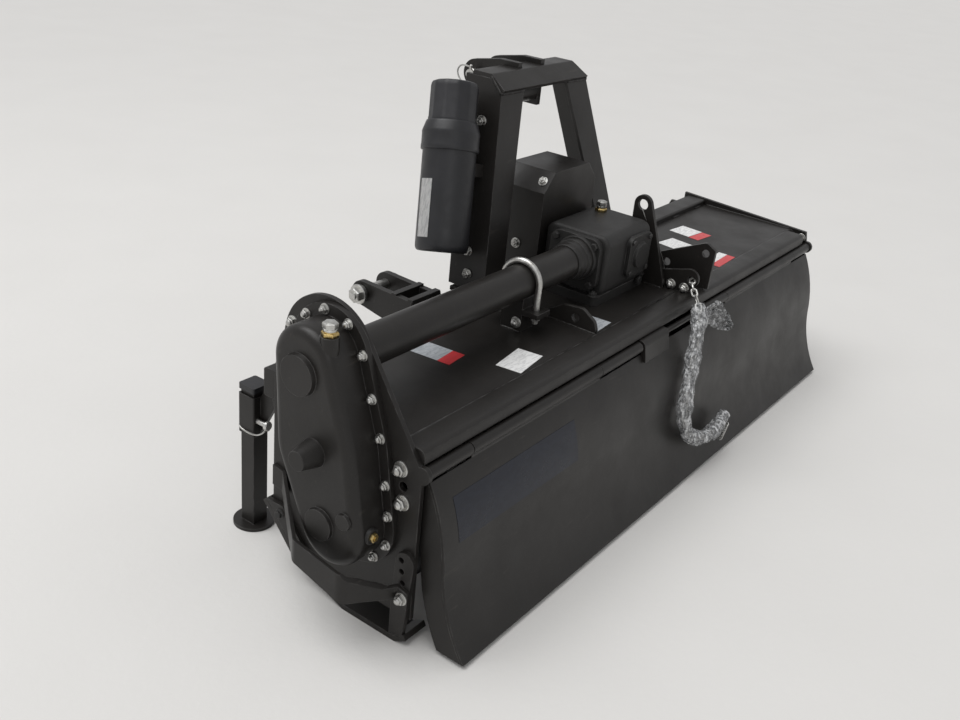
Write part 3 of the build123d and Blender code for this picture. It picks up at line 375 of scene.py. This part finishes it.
def curved(points):
    """Points along one smooth NURBS line through the given places in mm."""
    data = bpy.data.curves.new("guide", "CURVE")
    data.dimensions = "3D"
    spline = data.splines.new("NURBS")
    spline.points.add(len(points) - 1)
    for point, place in zip(spline.points, points):
        point.co = (*at(*place), 1)
    spline.order_u = 3
    spline.use_endpoint_u = True
    spline.resolution_u = 8
    guide = bpy.data.objects.new("guide", data)
    bpy.context.scene.collection.objects.link(guide)
    bpy.context.view_layer.update()
    mesh = bpy.data.meshes.new_from_object(guide)
    result = [v.co.copy() for v in mesh.vertices]
    bpy.data.objects.remove(guide)
    bpy.data.meshes.remove(mesh)
    bpy.data.curves.remove(data)
    return result


def spaced(points, step):
    """The same line cut into even steps of about that many mm, with the direction at each."""
    lengths = [0.0]
    for a, b in zip(points, points[1:]):
        lengths.append(lengths[-1] + (b - a).length)
    count = max(2, round(lengths[-1] / (step * MM)))
    result = []
    span = 0
    for k in range(count + 1):
        goal = lengths[-1] * k / count
        while span < len(points) - 2 and lengths[span + 1] < goal:
            span += 1
        share = (goal - lengths[span]) / max(lengths[span + 1] - lengths[span], 1e-9)
        result.append((points[span].lerp(points[span + 1], min(share, 1.0)),
                       (points[span + 1] - points[span]).normalized()))
    return result


def piece(name, bm, material, body, sharp=35):
    """Turns a bmesh into a piece that rides on a CAD body."""
    bmesh.ops.recalc_face_normals(bm, faces=bm.faces)
    for edge in bm.edges:
        if len(edge.link_faces) == 2:
            edge.smooth = edge.calc_face_angle() < radians(sharp)
    for face in bm.faces:
        face.smooth = True
    mesh = bpy.data.meshes.new(name)
    bm.to_mesh(mesh)
    bm.free()
    mesh.materials.append(material)
    obj = bpy.data.objects.new(name, mesh)
    bpy.context.scene.collection.objects.link(obj)
    if body:
        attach(obj, body)
    return obj


def bolt(bm, place, axis, size=8, washer=True, stub=3, dome=False):
    """Hex head or nut of that corner radius, on a washer, with the thread's end showing."""
    base = at(*place)
    axis = Vector(axis)
    turn = random.uniform(0, pi / 3)
    low = 0
    if washer:
        lathe(bm, base, axis,
              ((size * 1.3, 0), (size * 1.3, size * 0.17), (size * 1.2, size * 0.24)), 20)
        low = size * 0.22
    top = low + size * 0.78
    lathe(bm, base, axis, ((size, low), (size, top - size * 0.12), (size * 0.84, top)), 6, turn)
    if dome:
        lathe(bm, base, axis,
              ((size * 0.7, top - 0.4), (size * 0.66, top + size * 0.3),
               (size * 0.45, top + size * 0.52), (size * 0.15, top + size * 0.6)), 14)
    elif stub:
        lathe(bm, base, axis, ((size * 0.5, top - 0.5), (size * 0.5, top + stub - 0.8),
                               (size * 0.38, top + stub)), 12)


# ================= Bolts =================

case_bolts = bmesh.new()
CASE_FACE = -HALF - 10          # outer face of the case's bolted lip
LIP_MIDDLE = 9                  # from the case's wall out to the bolts
CASE_GEARS = ((178, 445, 58), (151.5, 311.5, 77), (115, 193, 61))   # y, z and radius
OUTLINE_STEPS = 240
outline = []
for k in range(OUTLINE_STEPS):
    angle = 2 * pi * k / OUTLINE_STEPS
    across, above = cos(angle), sin(angle)
    y, z, r = max(CASE_GEARS, key=lambda g: g[0] * across + g[1] * above + g[2])
    outline.append(at(CASE_FACE, y + (r + LIP_MIDDLE) * across, z + (r + LIP_MIDDLE) * above))
outline.append(outline[0])
rim = spaced(outline, 1)
# Distances along the rim in mm, from the front over the top and down the rear.
CASE_BOLTS = (0, 51, 93, 141, 191, 256, 316, 391, 442, 494, 534, 594, 654, 714, 774, 834, 894)
for distance in CASE_BOLTS:
    y, z = (rim[distance][0] - ORIGIN).yz / MM
    bolt(case_bolts, (CASE_FACE, y, z), LEFT, 6.6, stub=0, dome=True)
piece("case_bolts", case_bolts, finishes["zinc"], "frame")

plate_bolts = bmesh.new()
SHOULDER_BOLTS = ((38, 306), (31, 251))     # y, z of the two large ones at a plate's rear edge
SKID_WEB = HALF + 8                         # outer face of a skid's web
for y, z in SHOULDER_BOLTS:
    bolt(plate_bolts, (-HALF, y, z), LEFT, 10, dome=True)
bolt(plate_bolts, (-HALF, 264, 462), LEFT, 8, dome=True)
bolt(plate_bolts, (-HALF - 14, 9, 94), LEFT, 8.5, dome=True)
bolt(plate_bolts, (SKID_WEB, 14, 96), RIGHT, 9, dome=True)
for y, z in SHOULDER_BOLTS:
    bolt(plate_bolts, (HALF, y, z), RIGHT, 10, dome=True)
bolt(plate_bolts, (INNER, 16, 331), LEFT, 8)
bolt(plate_bolts, (INNER, 338, 340), LEFT, 8)
BEARING_BOLTS, BEARING_CIRCLE = 6, 51
for k in range(BEARING_BOLTS):
    angle = 2 * pi * k / BEARING_BOLTS + 0.3
    bolt(plate_bolts, (HALF + 12, ROTOR[0] + BEARING_CIRCLE * cos(angle),
                       ROTOR[1] + BEARING_CIRCLE * sin(angle)), RIGHT, 7)
piece("plate_bolts", plate_bolts, finishes["zinc"], "frame")

hood_bolts = bmesh.new()
for y in (113, 66, 36):
    bolt(hood_bolts, (128, y, HOOD_TOP + 9), LEFT, 8.5, dome=True)
bolt(hood_bolts, (-298, 160, 362), LEFT, 8, dome=True)
UBOLT_X, UBOLT_REACH = -278, 38.4           # of the U-bolt over the drive tube, and its legs' reach
for y in (TUBE[0] - UBOLT_REACH, TUBE[0] + UBOLT_REACH):
    lathe(hood_bolts, at(UBOLT_X, y, 379), DOWN, ((10, 0), (10, 1.6), (9.4, 2)), 20)
    lathe(hood_bolts, at(UBOLT_X, y, 377), DOWN, ((9, 0), (9, 7), (8, 8)), 6)
LEG_FOOT_X, LEG_FOOT_Z = 250, 366           # outer face of a mast leg, at its foot
for side, face in ((-1, LEFT), (1, RIGHT)):
    for y, z in ((318, 392), (330, 432), (374, 663)):
        bolt(hood_bolts, (side * (LEG_FOOT_X - LEAN * (z - LEG_FOOT_Z)), y, z), face, 8)
for side, face in ((-1, LEFT), (1, RIGHT)):
    bolt(hood_bolts, (side * 95, 312, 423), face, 8)
for side in SIDES:
    bolt(hood_bolts, (side * 79, 276, 555), (side * 0.737, 0, 0.676), 7.5)
piece("hood_bolts", hood_bolts, finishes["zinc"], "frame")

painted_bolts = bmesh.new()
BOX_LEFT, BOX_RIGHT = -90, 104              # faces of the gearbox's side covers
for x, face in ((BOX_LEFT, LEFT), (BOX_RIGHT, RIGHT)):
    for y, z in ((137, 464), (223, 464), (137, 386), (223, 386)):
        bolt(painted_bolts, (x, y, z), face, 7.5, washer=False, stub=0)
for dx, dz in ((-32, -32), (32, -32), (-32, 32), (32, 32)):
    bolt(painted_bolts, (40 + dx, 105, TUBE[1] - 6 + dz), REAR, 5.5, washer=False, stub=0)
bolt(painted_bolts, (66, 114, 364), REAR, 9, washer=False, stub=0)
bolt(painted_bolts, (-SKID_WEB, 278, 114), LEFT, 7, stub=0)
bolt(painted_bolts, (SKID_WEB, 309, 117), RIGHT, 7, stub=0)
for x in (-86, 100):
    for y in (128, 242):
        bolt(painted_bolts, (x, y, HOOD_TOP + 20), UP, 8)
piece("gearbox_bolts", painted_bolts, finishes["cast_black"], "frame")

# ---- Fillers, level plug and vent ----
FILLERS = ((-HALF - 51, 140, 499, 11.5), (62, 218, 483, 11))    # foot and size, on case and gearbox
fillers = bmesh.new()
for x, y, z, size in FILLERS:
    base = at(x, y, z)
    lathe(fillers, base, UP,
          ((size * 1.05, 0), (size * 1.12, 1), (size * 1.12, 5), (size, 6.5)), 6, 0.3)
    lathe(fillers, base, UP, ((size * 0.86, 6), (size * 0.86, 8.5)), 20)
level_base = at(-HALF - 40, 55, 200)
lathe(fillers, level_base, REAR, ((7.6, 5), (7.6, 9), (6.6, 10.5)), 6, 0.2)
lathe(fillers, level_base, REAR, ((3.6, 10), (3.6, 12)), 12)
piece("brass_plugs", fillers, finishes["brass"], "frame")

caps = bmesh.new()
for x, y, z, size in FILLERS:
    base = at(x, y, z)
    lathe(caps, base, UP,
          ((size * 0.86, 8), (size * 0.9, 9), (size * 0.9, 11.5), (size * 0.84, 12)), 28)
    lathe(caps, base, UP,
          ((size * 0.96, 12), (size, 12.8), (size, 19.6), (size * 0.86, 21)), 6, 0.5)
    lathe(caps, base, UP, ((size * 0.55, 20.8), (size * 0.52, 21.6), (size * 0.2, 21.6)), 20)
steel_caps = piece("plug_caps", caps, finishes["zinc"], "frame")
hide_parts("oil_plugs")

bosses = bmesh.new()
lathe(bosses, level_base, REAR, ((13, -6), (13, 3.5), (12, 5)), 24)
# Machined rings where the drive tube leaves the gearbox.
for radius, x in ((44, BOX_LEFT), (40, -104), (37.5, -116), (35.5, -128)):
    lathe(bosses, at(x, *TUBE), LEFT, ((radius, 0), (radius, 5), (radius - 1.6, 7.5)), 40)
piece("cast_bosses", bosses, finishes["cast_black"], "frame")

# ================= Weld beads =================

welds = bmesh.new()
RIPPLE = 3.2            # from one ripple of a bead to the next


def bead(start, end, size=2.6):
    """A rippled bead from one place to the other, in mm."""
    a, b = at(*start), at(*end)
    count = max(3, round((b - a).length / (RIPPLE * MM)))
    points = [a.lerp(b, k / count) + Vector([random.uniform(-0.35, 0.35) * MM for _ in range(3)])
              for k in range(count + 1)]
    radii = [size * (1.12 if k % 2 else 0.86) * random.uniform(0.93, 1.07)
             for k in range(count + 1)]
    radii[0] = radii[-1] = size * 0.5
    tube(welds, points, radii, 6)


# Along the feet of the left bracket, right bracket, lug, chain plate and tube saddle.
for x, start_y, end_y in ((-198, 50, 180), (-190, 50, 180), (172, 44, 150), (180, 44, 150),
                          (110, 78, 166), (118, 78, 166), (134, 10, 160),
                          (-298, 151, 193), (-258, 151, 193)):
    bead((x, start_y, HOOD_TOP), (x, end_y, HOOD_TOP))
for side in SIDES:
    bead((side * INNER, 50, HOOD_TOP), (side * INNER, 282, HOOD_TOP), 2.4)
    bead((side * INNER, 16, 318), (side * INNER, 48, HOOD_TOP), 2.4)
    bead((side * 177, 264, 358), (side * 263, 264, 358))
    bead((side * 150, 346, 716), (side * 76, 346, 716), 3.0)
    bead((side * 150, 346, 716), (side * 142, 378, 743), 3.0)
    for x in (301, 381):
        bead((side * x, 336, 320), (side * x, 336, 368))
    bead((side * 686, 335.5, 304), (side * 686, 335.5, 348), 2.2)
    bead((side * (HALF + 7), 33, 11), (side * (HALF + 7), 14, 14), 2.4)
for x in (-660, -520, -380, -330, 300, 420, 560, 680):
    bead((x, 284.5, HOOD_TOP + 1), (x + 34, 284.5, HOOD_TOP + 1), 2.4)
piece("weld_beads", welds, finishes["black_paint"], "frame", 180)

# ================= Rear fold of the hood =================

# Side view, y and z: the flat runs on to the hinge and turns down just before it. It is closed
# below along the hood's slope.
FOLD = ((50, 345.3), (40, 346.2), (15, 346.2), (9, 345.2), (4.6, 341.8), (3, 336.5), (2.5, 324.5),
        (12, 324.5), (46, 344.6))
fold = bmesh.new()
FOLD_SHORT = 26         # leaves the bolt at the right plate free
left_end, right_end = ([fold.verts.new(at(x, y, z)) for y, z in FOLD]
                       for x in (-INNER, INNER - FOLD_SHORT))
for k in range(len(FOLD)):
    n = (k + 1) % len(FOLD)
    fold.faces.new((left_end[k], left_end[n], right_end[n], right_end[k]))
fold.faces.new(left_end)
fold.faces.new(right_end[::-1])
piece("hood_fold", fold, finishes["black_paint"], "frame")

# ================= Canister =================

CANISTER_FOOT = at(-296.3, 343.9, 440)
CANISTER_UP = Vector((LEAN, 0.2178, 1)).normalized()
CANISTER_R = 50
body = bmesh.new()
lathe(body, CANISTER_FOOT, CANISTER_UP,
      ((38, 0.4), (44.5, 1.2), (48, 3.6), (49.6, 8), (CANISTER_R, 14), (CANISTER_R, 30),
       (CANISTER_R, 90), (CANISTER_R, 150), (CANISTER_R, 184), (50.3, 185.6), (53.2, 186.2),
       (54, 188), (54, 194), (53.5, 197), (53.6, 214), (53.9, 219), (53.2, 222), (48.4, 236),
       (47.2, 239), (46, 239.8)), 64)
canister_shell = piece("canister_shell", body, finishes["black_plastic"], "frame")
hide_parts("manual_canister")

lid = bmesh.new()
lathe(lid, CANISTER_FOOT, CANISTER_UP,
      ((45, 239.6), (45, 244), (44.3, 246), (44.3, 301), (43.4, 306), (41.4, 309.4),
       (37, 311.4), (32, 311.9), (29.5, 311.2), (10, 311.2)), 120, flats=12)
canister_lid = piece("canister_lid", lid, finishes["black_plastic"], "frame", 22)
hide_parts("canister_cap")

# ================= Blank stickers =================

FILM_TOP, FILM_FOOT = 0.5, 0.05     # heights of a film's two faces over the surface
FILM_START = 0.2                    # metres before the surface at which its rays start


def tree_of(node):
    """A search tree over a CAD node's faces."""
    mesh = nodes[node].data
    return BVHTree.FromPolygons([v.co for v in mesh.vertices], [p.vertices for p in mesh.polygons])


def film(name, node, corners, direction, material, body, divisions=12):
    """A thin film laid on a CAD node: four corners in mm, pressed on along a direction."""
    tree = tree_of(node)
    a, b, c, d = (at(*corner) for corner in corners)
    bm = bmesh.new()
    layers = []
    for lift in (FILM_TOP, FILM_FOOT):
        grid = []
        for i in range(divisions + 1):
            row = []
            for j in range(divisions + 1):
                u, v = i / divisions, j / divisions
                start = a.lerp(b, u).lerp(d.lerp(c, u), v)
                place = tree.ray_cast(start - direction * FILM_START, direction)[0]
                if place is None:
                    raise RuntimeError(f"{name}: no surface under the film")
                row.append(bm.verts.new(place - direction * lift * MM))
            grid.append(row)
        layers.append(grid)
    for grid in layers:
        for i in range(divisions):
            for j in range(divisions):
                bm.faces.new((grid[i][j], grid[i + 1][j], grid[i + 1][j + 1], grid[i][j + 1]))
    top, low = layers
    rim = ([(i, 0) for i in range(divisions)] + [(divisions, j) for j in range(divisions)]
           + [(i, divisions) for i in range(divisions, 0, -1)]
           + [(0, j) for j in range(divisions, 0, -1)])
    for (i, j), (m, n) in zip(rim, rim[1:] + rim[:1]):
        bm.faces.new((top[i][j], top[m][n], low[m][n], low[i][j]))
    return piece(name, bm, material, body, 50)


def on_hood(name, x, y, length, width, turn, material):
    """A rectangle on the hood's flat top."""
    c, s = cos(radians(turn)), sin(radians(turn))
    corners = []
    for u, v in ((-1, -1), (1, -1), (1, 1), (-1, 1)):
        dx, dy = u * length / 2, v * width / 2
        corners.append((x + dx * c - dy * s, y + dx * s + dy * c, HOOD_TOP + 1))
    film(name, "hood", corners, DOWN, material, "frame", 2)


# x and y of the middle, length, width and turn, and the film's tone.
for name, x, y, length, width, turn, film_tone in (
        # The left label's main part is white film given a grey-blue tone: painted shadow of the
        # drive tube on it.
        ("label_left", -478, 212, 50, 62, 6, grey_blue_film),
        ("label_left_band", -474, 169, 50, 24, 6, red_film),
        ("label_white", -394, 83, 84, 48, 8, white_film),
        ("label_middle", -157, 76, 56, 40, 4, grey_blue_film),
        ("label_right", 494, 215, 60, 54, -6, white_film),
        ("label_right_band", 488, 174, 60, 26, -6, red_film),
        ("label_chain", 386, 184, 60, 66, -8, white_film),
        ("label_rear", 376, 81, 90, 20, 2, white_film),
        ("label_rear_band", 375, 61, 90, 20, 2, red_film)):
    on_hood(name, x, y, length, width, turn, film_tone)

# The dark panel that the tailgate carries, left blank.
film("gate_panel", "tailgate",
     ((-700, -60, 262), (-365, -60, 262), (-365, -90, 190), (-700, -90, 190)),
     FRONT, dark_film, "tailgate", 10)

# The blank strip on the canister's side.
STRIP_CELLS, STRIP_START, STRIP_TURN = 6, -17, 5.5      # cells round the side, and their degrees
strip = bmesh.new()
outward = Vector((-0.98, 0.17, 0))
side_axis = (outward - CANISTER_UP * outward.dot(CANISTER_UP)).normalized()
rows = []
for height in (26, 60, 100, 132):
    row = []
    for k in range(STRIP_CELLS + 1):
        spoke = Quaternion(CANISTER_UP, radians(STRIP_START + STRIP_TURN * k)) @ side_axis
        row.append(CANISTER_FOOT + (spoke * (CANISTER_R + 0.5) + CANISTER_UP * height) * MM)
    rows.append([strip.verts.new(p) for p in row])
for low, high in zip(rows, rows[1:]):
    for k in range(STRIP_CELLS):
        strip.faces.new((low[k], low[k + 1], high[k + 1], high[k]))
# Known fault: these faces have no normals yet, so the second layer is not offset at all and
# the strip has no thickness.
bmesh.ops.solidify(strip, geom=strip.faces[:], thickness=0.35 * MM)
piece("canister_strip", strip, white_film, "frame")

# ================= Pins, rings and wires =================

RING_WIRE = 1.7
wires = bmesh.new()
for side in SIDES:
    # The head and wire loop of a stand's pull pin, behind the sleeve and round its outer side.
    x = side * 700
    lathe(wires, at(x, 374, 217), REAR, ((7.5, 0), (8.5, 1), (8.5, 5), (7, 6.5)), 20)
    loop = curved([(x, 371, 217), (x + side * 8, 369, 209), (x + side * 14, 382, 199),
                   (x + side * 12, 410, 194), (x + side * 10, 434, 197), (x - side * 8, 437, 200),
                   (x - side * 14, 435, 204)])
    tube(wires, loop, 1.5, 8)
    # Lynch pin and ring on the lower hitch pin's inner end.
    x = side * 287
    ring = curved([(x, 460, 358), (x - side * 3, 482, 352), (x - side * 4, 488, 334),
                   (x - side * 4, 470, 318), (x - side * 4, 446, 320), (x - side * 3, 436, 338),
                   (x, 452, 354), (x, 460, 358)])
    tube(wires, ring, RING_WIRE, 8)
    lathe(wires, at(x, 460, 360), DOWN, ((2.6, 0), (3.6, 1), (3.6, 30), (2, 33)), 12)
    # The lower pin's shoulder nut outside.
    bolt(wires, (side * 389, 460, 344), side * RIGHT, 15, stub=4)
# Ring and lynch pin on the top link pin.
ring = curved([(-58, 488, 730), (-62, 506, 736), (-64, 520, 722), (-64, 510, 702), (-63, 488, 694),
               (-62, 470, 704), (-60, 470, 722), (-58, 488, 730)])
tube(wires, ring, RING_WIRE, 8)
lathe(wires, at(-59, 488, 736), DOWN, ((2.6, 0), (3.6, 1), (3.6, 32), (2, 36)), 12)
# Thin tie wire from the lifting eye.
tie = curved([(110, 150, 497), (108, 138, 478), (122, 118, 440), (142, 104, 404), (150, 96, 372),
              (152, 90, 350)])
tube(wires, tie, 0.9, 6)
piece("pins_and_wires", wires, finishes["zinc"], "frame")

# ================= Chain in its wrap =================

# From the chain plate's hole down over the tailgate's rear face, to the hooked end.
HANG = [(126, 20, 375), (104, 8, 368), (82, -20, 352), (66, -36, 326), (54, -42, 292),
        (47, -46, 262), (28, -55, 218), (8, -64, 172), (2, -72, 130), (22, -84, 92),
        (76, -92, 74), (138, -92, 70), (184, -86, 86)]
chain_line = curved(HANG)

links = bmesh.new()
LINK_LENGTH, LINK_WIDTH, LINK_WIRE, LINK_STEP, LINK_POINTS = 24, 15, 2.3, 18.5, 20
half = (LINK_LENGTH - LINK_WIDTH) / 2
bend = LINK_WIDTH / 2 - LINK_WIRE
for k, (place, along) in enumerate(spaced(chain_line, LINK_STEP)):
    side = along.cross(UP if abs(along.z) < 0.9 else FRONT).normalized()
    side = Quaternion(along, pi / 2 * (k % 2) + 0.35) @ side
    oval = []
    for j in range(LINK_POINTS):
        angle = 2 * pi * j / LINK_POINTS
        end = half if cos(angle) > 0 else -half
        oval.append(place + (along * (end + bend * cos(angle)) + side * bend * sin(angle)) * MM)
    tube(links, oval, LINK_WIRE, 8, closed=True)
chain_links = piece("chain_links", links, finishes["zinc"], None)
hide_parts("gate_chain", "chain_hook")

wrap = bmesh.new()
WRAP_R = 15.0
BARE = 0.13             # share of the chain above the wrap
wrap_line = spaced(chain_line, 3.4)
wrapped = [place for place, along in wrap_line[round(len(wrap_line) * BARE):]]
swell = []
for k in range(len(wrapped)):
    share = k / (len(wrapped) - 1)
    waves = 1.7 * sin(share * 31) + 1.0 * sin(share * 83 + 1)
    swell.append(WRAP_R + waves - 2.0 * (share > 0.98) - 3.5 * (share < 0.02))
tube(wrap, wrapped, swell, 28)
for vertex in wrap.verts:
    vertex.co += Vector([random.uniform(-0.75, 0.75) * MM for _ in range(3)])
chain_wrap = piece("chain_wrap", wrap, finishes["wrapped_chain"], None, 28)

# The wrap's loose end, a fluted sheet that widens away from the chain.
tail = bmesh.new()
COLUMNS, ROWS = 22, 12
grid = []
for i in range(COLUMNS + 1):
    u = i / COLUMNS
    width = 16 + 44 * sin(pi * min(1, u * 1.08)) ** 0.8
    column = []
    for j in range(ROWS + 1):
        v = j / ROWS - 0.5
        flute = 6.5 * sin(v * 17 + u * 5) * (0.35 + u) + 3 * sin(u * 21 + v * 6)
        place = at(74 + 130 * u, -40 - flute * 0.8 - 12 * u,
                   338 - 62 * u + v * width + 10 * sin(u * pi))
        crumple = Vector([random.uniform(-1.1, 1.1) * MM for _ in range(3)])
        column.append(tail.verts.new(place + crumple))
    grid.append(column)
for i in range(COLUMNS):
    for j in range(ROWS):
        tail.faces.new((grid[i][j], grid[i + 1][j], grid[i + 1][j + 1], grid[i][j + 1]))
# Known fault, as on the canister's strip: both layers lie in one place.
bmesh.ops.solidify(tail, geom=tail.faces[:], thickness=0.5 * MM)
loose_wrap = piece("wrap_tail", tail, finishes["wrapped_chain"], None, 24)

for loose in (chain_links, chain_wrap, loose_wrap):
    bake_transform(loose)

SPRING_TURNS, TURN_POINTS = 8, 14
spring = bmesh.new()
coil = []
for k in range(SPRING_TURNS * TURN_POINTS):
    angle = 2 * pi * k / TURN_POINTS
    coil.append(at(186 - 0.20 * k + 4.5 * cos(angle), -94 + 6.3 * sin(angle),
                   68 - 0.26 * k + 4 * cos(angle)))
tube(spring, coil, 1.3, 7)
piece("chain_spring", spring, finishes["zinc"], "tailgate")

# ================= Blades =================

FLANGES, FLANGE_STEP, LAST_FLANGE = 7, 210, 630
FLANGE_TURN = 17                            # degrees from one flange to the next
BLADES = 3                                  # of one hand on a flange
BLADE_REACH, BEND_R, BLADE_THICK = 134, 30, 3.6
# A blade's middle line: distance out from the rotor's axis, and distance sideways.
blade_line = [(42, 4), (70, 4), (98, 4.5)]
for degrees in range(0, 91, 15):
    bend = radians(degrees)
    blade_line.append((BLADE_REACH - BEND_R + BEND_R * sin(bend), 4.5 + BEND_R * (1 - cos(bend))))
blade_line += [(BLADE_REACH, 52), (BLADE_REACH, 70), (BLADE_REACH - 1, 85)]
blade_bolts = bmesh.new()
for side, node in ((-1, "left_hand_tines"), (1, "right_hand_tines")):
    blades = bmesh.new()
    for k in range(FLANGES):
        x = -LAST_FLANGE + FLANGE_STEP * k + side * 5
        for step in range(BLADES):
            angle = radians(360 / BLADES * step + (60 if side > 0 else 0) + FLANGE_TURN * k)
            out = Vector((0, cos(angle), sin(angle)))
            edge = Vector((0, -sin(angle), cos(angle)))
            sideways = Vector((side, 0, 0))
            rings = []
            for n, (reach, drift) in enumerate(blade_line):
                before = blade_line[max(n - 1, 0)]
                after = blade_line[min(n + 1, len(blade_line) - 1)]
                run = out * (after[0] - before[0]) + sideways * (after[1] - before[1])
                across = run.normalized().cross(edge).normalized()
                half = 19 - 4 * (n / (len(blade_line) - 1)) ** 2
                middle = at(x, *ROTOR) + (out * reach + sideways * drift) * MM
                # Ground to an edge on the leading side.
                section = ((-half, -0.9), (-half + 7, -BLADE_THICK), (half, -BLADE_THICK),
                           (half, BLADE_THICK), (-half + 7, BLADE_THICK), (-half, 0.9))
                rings.append([blades.verts.new(middle + (edge * u + across * w) * MM)
                              for u, w in section])
            for low, high in zip(rings, rings[1:]):
                for j in range(6):
                    blades.faces.new((low[j], low[(j + 1) % 6], high[(j + 1) % 6], high[j]))
            blades.faces.new(rings[0][::-1])
            blades.faces.new(rings[-1])
            for reach in (52, 68):
                base = at(x, *ROTOR) + (out * reach + sideways * 7.6) * MM
                lathe(blade_bolts, base, sideways, ((6.4, 0), (6.4, 4.6), (5.4, 5.6)), 6, 0.3)
    blade_piece = piece(node + "_blades", blades, finishes["tine_black"], "rotor")
    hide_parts(node)
piece("blade_bolts", blade_bolts, finishes["zinc"], "rotor")
